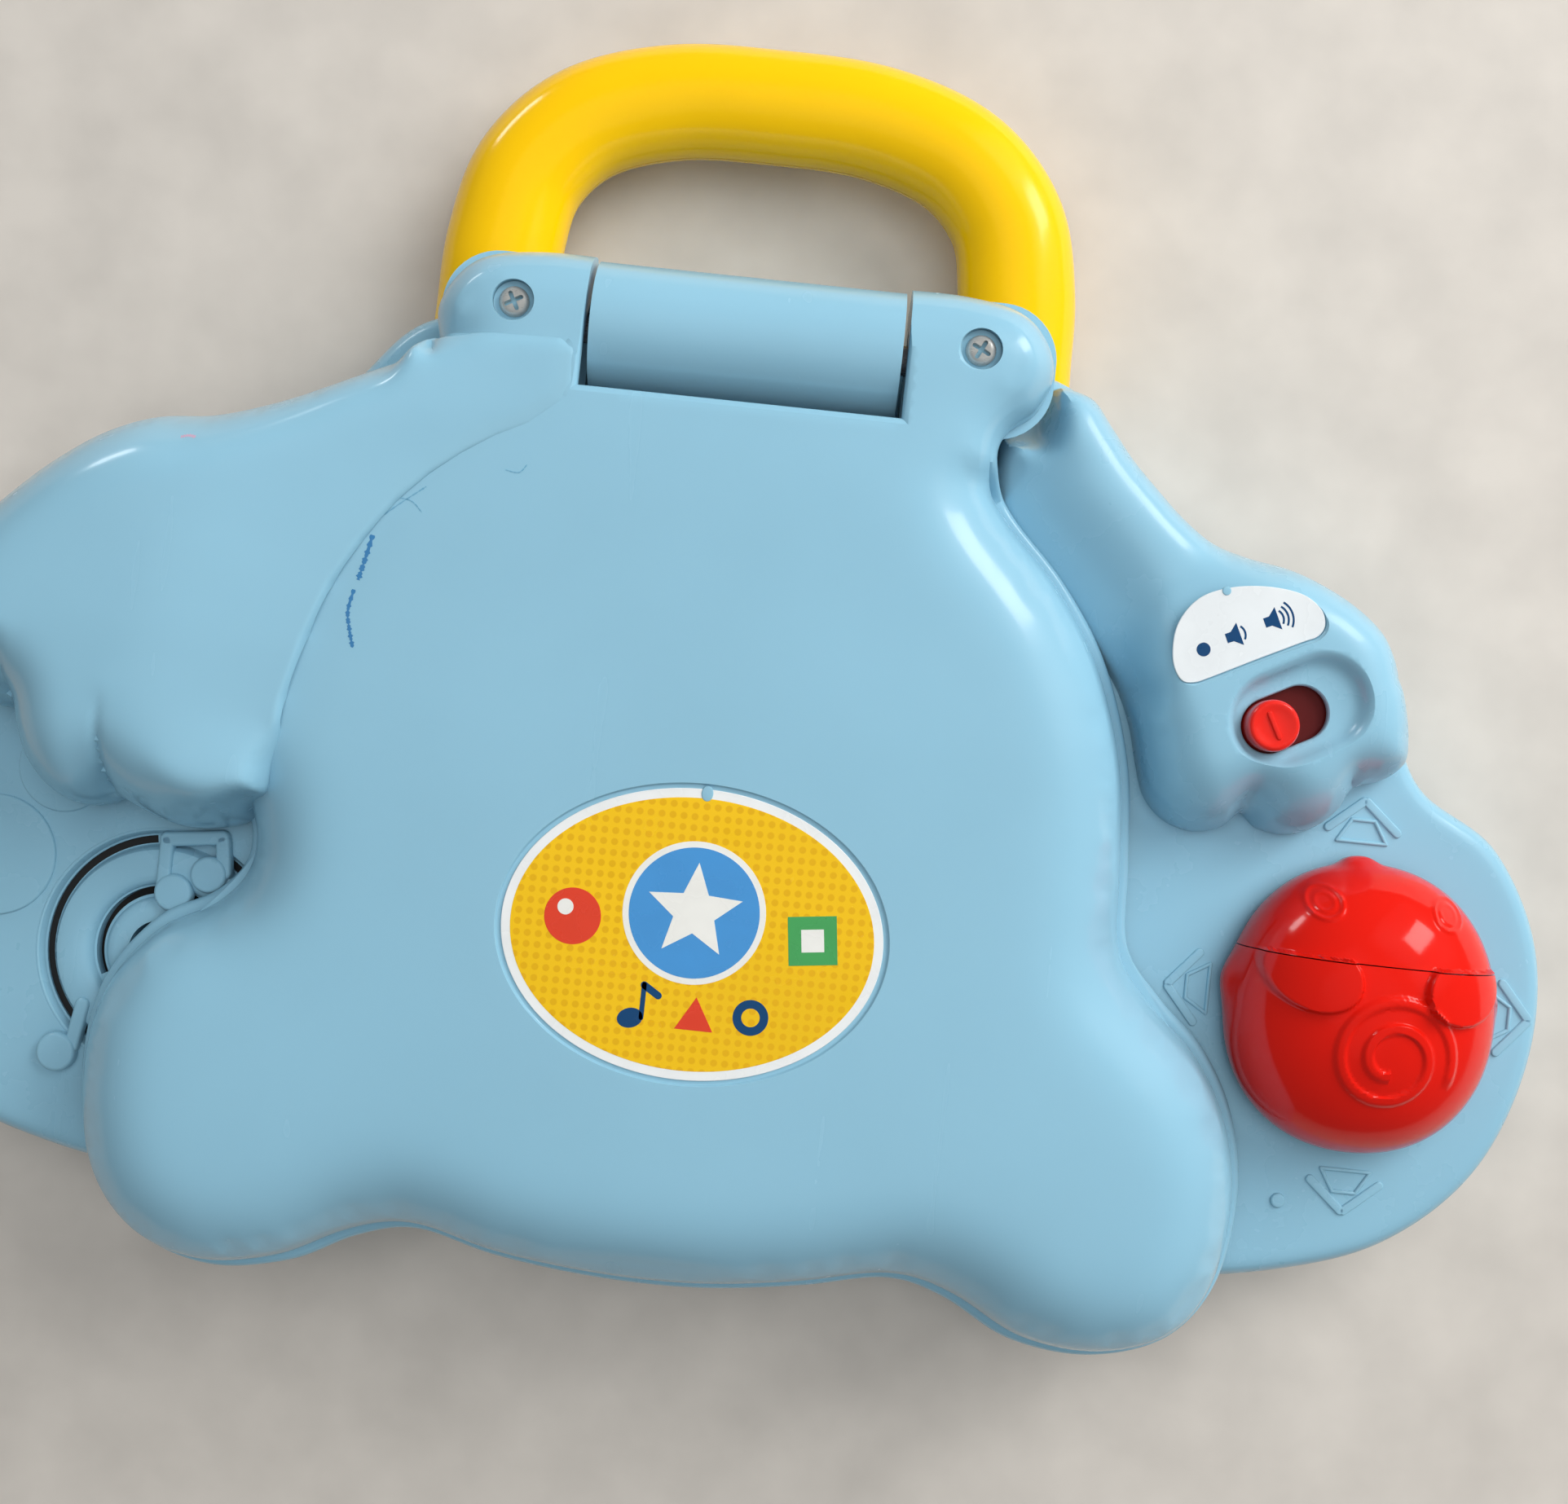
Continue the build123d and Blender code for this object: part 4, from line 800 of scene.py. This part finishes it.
# ---- the volume knob and the two screws in the knuckles
knob_line = [(0.02, 35.8), (5.2, 35.8), (5.4, 36.0), (5.4, 37.0), (5.2, 37.2), (4.3, 37.3), (4.3, 41.6), (4.22, 42.0),
             (4.0, 42.35), (3.7, 42.55), (3.4, 42.55), (2.9, 42.35), (1.8, 42.15), (0.02, 42.1)]
make("knob", *stack(lathe(SLOT_A, knob_line, 72)), *ON_KNOB, ["volume_knob"])
# the plate seen through the slot wears that darkened red: painted shade in the slot
slide_plate = prism("slide_plate", capsule(SLOT_A, 5.2, 5.2, SLOT_TURN), 36.5, 37.3)
dress(slide_plate, shaded_plate_red, "volume_slider")
raised("knob_rib", capsule(SLOT_A, 2.1, 0.45, SLOT_TURN + math.pi / 2, 10), 41.9, 42.55, 0.25, *ON_KNOB)

screw_line = [(0.02, 27.2), (1.2, 27.3), (1.2, 41.3), (2.3, 41.4), (2.5, 41.8), (2.5, 42.7), (2.35, 43.1),
              (2.0, 43.4), (1.4, 43.55), (0.02, 43.6)]
verts, faces = [], []
for side in (-1, 1):
    more, joined = stack(lathe((side * SCREW_X, SCREW_Y), screw_line))
    faces += [tuple(i + len(verts) for i in face) for face in joined]
    verts += [tuple(v) for v in more]
screws = make("screw_heads", verts, faces, steel, "lid", "screw_steel", ["knuckle_screws"])
blades = []
for side, turn in ((-1, 0.5), (1, 1.1)):
    for quarter_turn in (0, math.pi / 2):
        blade = capsule((side * SCREW_X, SCREW_Y), 1.35, 0.36, turn + quarter_turn, 6)
        blades.append(prism("blade", blade, 42.2, 44))
carve(screws, "lid", blades)


# ---- the handle, in an upper and a lower half
def grow_handle(upper):
    path = even_loop(HANDLE_PATH, 140, closed=False)
    out = sideways(path)
    share = np.abs(np.linspace(-1, 1, len(path)))
    wide = 10.0 + 1.0 * share ** 2
    sweep = np.linspace(0, math.pi, 30) if upper else np.linspace(math.pi, 2 * math.pi, 30)
    gap = 0.12 if upper else -0.12
    u, v = np.array([(math.cos(a), math.sin(a)) for a in sweep]
                    + [(0.78 * math.cos(a), 0.74 * math.sin(a)) for a in sweep[::-1]]).T
    z = HANDLE_Z + v * HANDLE_TALL + np.where(np.abs(v) < 1e-6, gap, gap * (1 - np.abs(v)))
    return stack([(np.column_stack([px + ox * u * w, py + oy * u * w]), z)
                  for (px, py), (ox, oy), w in zip(path, out, wide)])


make("handle_top", *grow_handle(True), yellow, "base", "handle_yellow", ["handle_upper"])
make("handle_under", *grow_handle(False), yellow, "base", "handle_yellow", ["handle_lower"])


# ---- the mouse: an egg-shaped dome cut by a seam
def mouse_height(x, y):
    """Height of the mouse's skin over a point, before its relief."""
    v = (y - MOUSE_MID[1]) / np.where(y > MOUSE_MID[1], MOUSE_FRONT, MOUSE_BACK)
    far = np.clip(1 - np.abs((x - MOUSE_MID[0]) / MOUSE_A) ** 2.15 - np.abs(v) ** 2.15, 0, 1)
    return MOUSE_Z0 + 3 + (MOUSE_TOP - MOUSE_Z0 - 3) * far ** 0.52


def mouse_relief(x, y):
    """Spiral, ear flaps and ring eyes that stand a little proud of the skin."""
    relief = np.zeros_like(x)
    dx, dy = x - 116.3, y + 52.4
    r, a = np.hypot(dx, dy), -np.arctan2(dy, dx)
    start = a - math.pi / 2
    start = np.where(start < 0, start + 2 * math.pi, start) / (2 * math.pi)
    for lap in (0, 1):
        want = 2.9 + 4.3 * (lap + start)
        band = smooth((1.1 - np.abs(r - want)) / 0.55)
        relief = np.maximum(relief, 0.55 * band * (1 if lap == 0 else smooth((0.82 - start) / 0.04)))
    for side in (-1, 1):
        eye = np.hypot(x - (MOUSE_MID[0] + side * 10.3), y + 28.4)
        relief += 0.42 * np.exp(-((eye - 2.7) / 0.32) ** 2)
        relief += 0.22 * np.exp(-((eye - 1.5) / 0.3) ** 2)
        u, v = x - (MOUSE_MID[0] + side * 12.6 + 0.3), y + 40.2
        tilt = side * 0.28
        u, v = u * math.cos(tilt) + v * math.sin(tilt), -u * math.sin(tilt) + v * math.cos(tilt)
        flap = np.hypot(u / 7.7, v / 6.0)
        relief += 1.7 * smooth((1.03 - flap) / 0.12) * (y < SEAM_Y + 0.4)
    return relief


def grow_mouse(front):
    """Half of the mouse, as polar rings clipped at the seam, with a thin wall."""
    count, steps = 420, 90
    turn = -np.linspace(0, 2 * math.pi, count, endpoint=False)
    nx, ny = np.cos(turn), np.sin(turn)
    deep = np.where(ny > 0, MOUSE_FRONT, MOUSE_BACK)
    round_off = (np.abs(nx) ** 2.15 + np.abs(ny) ** 2.15) ** (-1 / 2.15)
    edge_x, edge_y = MOUSE_A * nx * round_off, deep * ny * round_off
    edge, normal = np.stack([edge_x, edge_y], 1), np.stack([nx, ny], 1)
    bulge = np.zeros(count)
    for side in (-1, 1):
        bulge += 1.1 * np.exp(-(np.hypot(edge_x - side * MOUSE_A, edge_y - 3.5) / 4.0) ** 2)
    bulge += 1.2 * np.exp(-(np.hypot(edge_x + 2.4, edge_y - MOUSE_FRONT) / 3.0) ** 3)
    outer = []
    for z, grow in ((MOUSE_Z0, -0.6), (MOUSE_Z0 + 0.3, -0.3), (MOUSE_Z0 + 1.2, -0.1), (MOUSE_Z0 + 2.2, 0.0)):
        outer.append((MOUSE_MID + edge + normal * (bulge + grow)[:, None], z))
    for k in range(steps + 1):
        share = math.sin(math.pi / 2 * (1 - k / steps))
        ring = MOUSE_MID + edge * share
        z = mouse_height(*ring.T) + mouse_relief(*ring.T) * smooth(np.full(count, k / 14))
        outer.append((ring + normal * bulge[:, None] * math.exp(-(k / 10) ** 2), z))
    inner = [(MOUSE_MID + edge * share, z) for share, z in
             ((0.9, MOUSE_Z0), (0.9, MOUSE_Z0 + 4), (0.83, 36), (0.7, 40), (0.5, 42.4), (0.3, 43.4), (0.01, 43.9))]
    verts, faces = stack(inner[::-1] + outer)
    bm = bmesh.new()
    made = [bm.verts.new((float(a), float(b), float(c))) for a, b, c in verts]
    for face in faces:
        if len(set(face)) > 2:
            bm.faces.new([made[i] for i in face])
    bmesh.ops.recalc_face_normals(bm, faces=bm.faces)
    line = SEAM_Y + (SEAM_GAP / 2 if front else -SEAM_GAP / 2)
    cut = bmesh.ops.bisect_plane(bm, geom=bm.verts[:] + bm.edges[:] + bm.faces[:], plane_co=(0, line, 0),
                                 plane_no=(0, 1, 0), clear_inner=front, clear_outer=not front)
    rim = [e for e in cut["geom_cut"] if isinstance(e, bmesh.types.BMEdge)]
    bmesh.ops.triangle_fill(bm, use_beauty=True, edges=rim)
    bm.verts.index_update()
    result = [tuple(v.co) for v in bm.verts], [tuple(v.index for v in f.verts) for f in bm.faces]
    bm.free()
    return result


make("mouse_back", *grow_mouse(False), red, "mouse", "mouse_red", ["mouse_body"], 50)
make("mouse_front", *grow_mouse(True), red, "mouse_click", "mouse_red", ["mouse_head"], 50)


# ---- labels
def pad(name, ring, z0, z1, material, body, slot, replaced=(), edge=0.08):
    rings = nested(np.array(ring, float), [0, edge], 0.0, edge)
    return make(name, *stack([(ring, z0), (rings[0], z1 - edge), (rings[1], z1)]), material, body, slot, replaced)


def label_print(name, ground, dots):
    """Printed sticker: a yellow ground with rows of darker dots under a glossy film."""
    material, tree, shader = nodes_of(name)
    grid = add_node(tree, "TexVoronoi", {"Scale": 560, "Randomness": 0.0, "Vector": object_coords(tree)})
    spot = span(tree, grid.outputs["Distance"], 0.28, 0.36, 1, 0)
    tone = mottled(tree, add_noise(tree, 22, 2), 0.3, 0.7, ground, dimmed(ground, 0.93))
    feed(tree, shader, {"Base Color": blend_colour(tree, spot, tone, dots),
                        "Roughness": span(tree, add_noise(tree, 130, 3), 0.3, 0.7, 0.16, 0.3)})
    return material


def ink(name, colour, rough=0.25):
    material, tree, shader = nodes_of(name)
    film = add_noise(tree, 150, 3)
    feed(tree, shader, {"Roughness": span(tree, film, 0.3, 0.7, rough * 0.7, rough * 1.3),
                        "Base Color": mottled(tree, film, 0.35, 0.7, colour, dimmed(colour, 0.94))})
    return material


sticker_white = ink("label_white_film", (0.80, 0.82, 0.82))
tag_white = ink("tag_white_film", (0.74, 0.78, 0.80))
sticker_yellow = label_print("label_yellow_print", (0.86, 0.52, 0.004), (0.74, 0.40, 0.002))
navy = ink("label_navy_ink", (0.006, 0.055, 0.16))
sky = ink("label_sky_ink", (0.06, 0.28, 0.62))
coral = ink("label_coral_ink", (0.70, 0.05, 0.02))
leaf = ink("label_green_ink", (0.06, 0.34, 0.10))
cream = ink("label_cream_ink", (0.80, 0.80, 0.76))


def ellipse(cx, cy, a, b, count, turn=0.0):
    return circle(cx, cy, a, count, b / a, turn)


lx, ly = LABEL_MID
pad("label_film", ellipse(lx, ly, LABEL_A - 0.4, LABEL_B - 0.4, 160), LABEL_Z, LABEL_Z + 0.32, sticker_white,
    "lid", "label_print", ["lid_label"])
pad("label_ground", ellipse(lx, ly, LABEL_A - 1.9, LABEL_B - 1.9, 160), 46.2, 46.36, sticker_yellow, "lid",
    "label_print", edge=0.03)


def edged(points, steps):
    """A polygon with extra points along each edge."""
    return np.array([(ax + (bx - ax) * t, ay + (by - ay) * t)
                     for (ax, ay), (bx, by) in zip(points, points[1:] + points[:1])
                     for t in np.linspace(0, 1, steps, endpoint=False)])


def polygon(cx, cy, r, sides, turn=90.0, inner=None):
    """A clockwise polygon, or a star when it has an inner radius, with points along its edges."""
    points = []
    total = sides * (2 if inner else 1)
    for k in range(total):
        radius = inner if inner and k % 2 else r
        a = math.radians(turn) - 2 * math.pi * k / total
        points.append((cx + radius * math.cos(a), cy + radius * math.sin(a)))
    return edged(points, 8)


def printed(name, ring, material, level):
    z = LABEL_PRINT_Z + 0.02 * level
    pad("art_" + name, ring, z, z + 0.04, material, "lid", "label_print", edge=0.015)


# the picture: a star in a disc, a ball, a block, a note, a triangle and a ring
printed("halo", circle(lx, ly + 3.5, 11.6, 96), cream, 0)
printed("disc", circle(lx, ly + 3.5, 10.6, 96), sky, 1)
printed("star", polygon(lx, ly + 3.7, 8.0, 5, 90, 3.5), cream, 2)
printed("ball", circle(lx - 19.5, ly + 1.0, 4.6, 64), coral, 1)
printed("ball_shine", circle(lx - 20.8, ly + 2.4, 1.3, 32), cream, 2)
printed("block", polygon(lx + 19.5, ly + 1.0, 5.6, 4, 52), leaf, 1)
printed("block_window", polygon(lx + 19.5, ly + 1.0, 2.6, 4, 52), cream, 2)
printed("note_head", ellipse(lx - 8.6, ly - 14.4, 2.1, 1.6, 40, 0.3), navy, 1)
printed("note_stem", bar((lx - 6.8, ly - 14.2), (lx - 6.8, ly - 8.8), 0.4, 8), navy, 1)
printed("note_flag", bar((lx - 6.8, ly - 8.9), (lx - 4.4, ly - 10.4), 0.6, 8), navy, 1)
printed("triangle", polygon(lx + 1.8, ly - 13.6, 3.6, 3, 90), coral, 1)
printed("ring", circle(lx + 10.8, ly - 12.4, 2.9, 48), navy, 1)
printed("ring_middle", circle(lx + 10.8, ly - 12.4, 1.5, 32), sticker_yellow, 2)

# the volume label: a white half moon with a dot and two loudspeakers
pad("tag_film", tag_line, 40.6, 41.0, tag_white, "base", "label_white", ["volume_label"], edge=0.1)


def tag_print(name, ring):
    pad(name, ring, TAG_Z, TAG_Z + 0.06, navy, "base", "label_white", edge=0.02)


CONE = ((-1.9, -0.7), (-1.9, 0.7), (-1.0, 0.7), (0.2, 1.7), (0.2, -1.7), (-1.0, -0.7))
tag_print("tag_dot", circle(80.1, 10.9, 1.15, 36))
for word, (x, y), size, arcs in (("low", (85.6, 14.0), 1.15, 1), ("high", (91.6, 17.2), 1.15, 3)):
    tag_print("tag_cone_" + word, edged(turned(x, y, TAG_TURN, CONE, size), 4))
    mid = turned(x, y, TAG_TURN, ((-0.6, 0),), size)[0]
    for k in range(arcs):
        turn = math.degrees(TAG_TURN)
        tag_print("tag_arc_%s_%d" % (word, k),
                  arc_ring(*mid, 1.6 + 0.8 * k, 1.95 + 0.8 * k, turn - 40, turn + 40, 14))

# a moulded pip nicks the upper edge of each label
raised("lid_pip", circle(1.6, -21.1, 1.0, 32, 1.3, 0), 45.9, 46.45, 0.2, *ON_LID)
raised("tag_pip", circle(82.9, 20.9, 0.75, 24), 40.5, 41.15, 0.15, *ON_BASE)


# ---- faint pen strokes left on the dome and arm
def stroke(name, piece, line, width, material):
    """A thin ribbon of ink lying on a piece, broken up by its changing width."""
    tree = BVHTree.FromObject(piece, bpy.context.evaluated_depsgraph_get())
    mids = even_loop(line, max(8, int(len(line) * 9)), closed=False)
    rings = []
    for k, ((x, y), (ox, oy)) in enumerate(zip(mids, sideways(mids))):
        half = width * (0.55 + 0.45 * math.sin(k * 2.3) * math.cos(k * 0.9))
        ring = [(x + side * half * ox, y + side * half * oy) for side in (-1, 1, 1, -1)]
        hits = [tree.ray_cast(Vector((px * MM, py * MM, 0.1)), Vector((0, 0, -1)))[0].z / MM for px, py in ring]
        rings.append((ring, np.array(hits) + (-0.05, -0.05, 0.03, 0.03)))
    make(name, *stack(rings), material, "lid", "shell_blue")


pen_blue = ink("pen_blue_ink", (0.045, 0.20, 0.42), 0.3)
pen_faint = ink("pen_faint_ink", (0.14, 0.36, 0.52), 0.3)
pen_pink = ink("pen_pink_ink", (0.55, 0.36, 0.50), 0.3)
bpy.context.view_layer.update()
stroke("pen_stroke_0", lid_dome, [(-56.7, 14.9), (-57.4, 11.4), (-58.3, 7.4)], 0.62, pen_blue)
stroke("pen_stroke_1", lid_dome, [(-58.8, 5.8), (-59.4, 2.2), (-58.8, -0.8), (-58.0, -3.6)], 0.5, pen_blue)
stroke("pen_stroke_2", lid_dome, [(-55.2, 18.4), (-52.4, 20.8), (-48.9, 23.6)], 0.18, pen_faint)
stroke("pen_stroke_3", lid_dome, [(-53.6, 21.4), (-51.0, 21.0), (-49.2, 19.4)], 0.14, pen_faint)
stroke("pen_stroke_4", lid_dome, [(-36.4, 27.6), (-34.2, 27.4), (-33.0, 28.8)], 0.16, pen_faint)
stroke("pen_stroke_5", lid_arm, [(-88.6, 27.2), (-87.4, 27.6), (-86.2, 27.4)], 0.4, pen_pink)

# ---- CAD pieces that keep their own shape
bright = {"red": (0.70, 0.02, 0.012), "yellow": (0.85, 0.52, 0.01), "green": (0.05, 0.42, 0.08),
          "orange": (0.85, 0.20, 0.01), "purple": (0.24, 0.06, 0.42)}
finishes = {"shell_blue": shell_blue, "handle_yellow": yellow, "mouse_red": red, "knob_red": knob_red,
            "screw_steel": steel, "pin_steel": dark_steel, "magnet_steel": dark_steel, "label_print": sticker_white,
            "label_white": tag_white, "rubber_grey": rubber, "board_green": pcb, "chip_black": chip,
            "membrane_white": membrane, "speaker_black": black, "speaker_paper": cone_paper,
            "cell_wrap": matte("cell_wrap", (0.25, 0.26, 0.28), 0.3), "contact_nickel": nickel,
            "window_clear": clear("window_clear", (0.75, 0.86, 0.9)),
            "lamp_clear": clear("lamp_clear", (0.9, 0.9, 0.8)), "inner_white": inner_white}
for word, colour in bright.items():
    finishes["key_" + word] = moulded("key_" + word + "_plastic", colour, 0.2, scratches=0.3, tint=0.03)
node_slots = {}
for entry in frame["record"]["materials"]:
    for node in entry.get("nodes", []):
        node_slots[node] = entry["slot"]
# the speaker frame takes the black finish so the slits over it look dark: painted shade in the slits
node_slots["speaker_frame"] = "speaker_black"
for name, piece in frame["nodes"].items():
    for place, old in enumerate(piece.data.materials):
        word = node_slots.get(name) or (old.name.split(".")[0] if old else "shell_blue")
        piece.data.materials[place] = finishes.get(word, shell_blue)

# ---- floor, light and camera
floor_mesh = bpy.data.meshes.new("floor")
FLOOR_HALF = 3
floor_mesh.from_pydata([(x * FLOOR_HALF, y * FLOOR_HALF, 0) for x, y in ((-1, -1), (1, -1), (1, 1), (-1, 1))], [],
                       [(0, 1, 2, 3)])
floor = placed("floor", floor_mesh)
floor_mesh.materials.append(matte("floor_paper", (0.62, 0.58, 0.53), 0.7, 60))


def panel(name, place, width, height, power, colour=(1, 1, 1)):
    """A rectangular lamp aimed at the middle of the part."""
    data = bpy.data.lights.new(name, "AREA")
    data.shape = "RECTANGLE"
    data.size, data.size_y, data.energy, data.color = width, height, power, colour
    lamp = placed(name, data)
    lamp.location = place
    lamp.rotation_euler = (-Vector(place)).to_track_quat("-Z", "Y").to_euler()
    return lamp


key = panel("key", (0.75, 0.62, 0.60), 0.9, 0.9, 12.5, (1.0, 0.99, 0.97))
panel("window_right", (0.72, 0.66, 0.58), 0.24, 0.42, 2.0, (1.0, 0.99, 0.97))
panel("window_left", (-0.80, 0.88, 0.24), 0.30, 0.14, 1.3, (0.95, 0.98, 1.0))
soft = panel("ceiling", (0.1, 0.1, 1.6), 1.6, 1.2, 14.5)
key.visible_glossy = soft.visible_glossy = False
world = bpy.data.worlds.new("studio")
bpy.context.scene.world = world
world.use_nodes = True
world.node_tree.nodes["Background"].inputs[0].default_value = (0.86, 0.90, 0.93, 1)
world.node_tree.nodes["Background"].inputs[1].default_value = 0.14

camera_data = bpy.data.cameras.new("camera")
SENSOR, FOCAL_SHARE = 36, 2200 / 1924
camera_data.sensor_width = SENSOR
camera_data.lens = SENSOR * FOCAL_SHARE
camera = placed("camera", camera_data)
camera.location = (0.0132, -0.0131, 0.336)
camera.rotation_euler = (0, 0, math.radians(6))
bpy.context.scene.camera = camera
bpy.context.scene.view_settings.view_transform = "Standard"
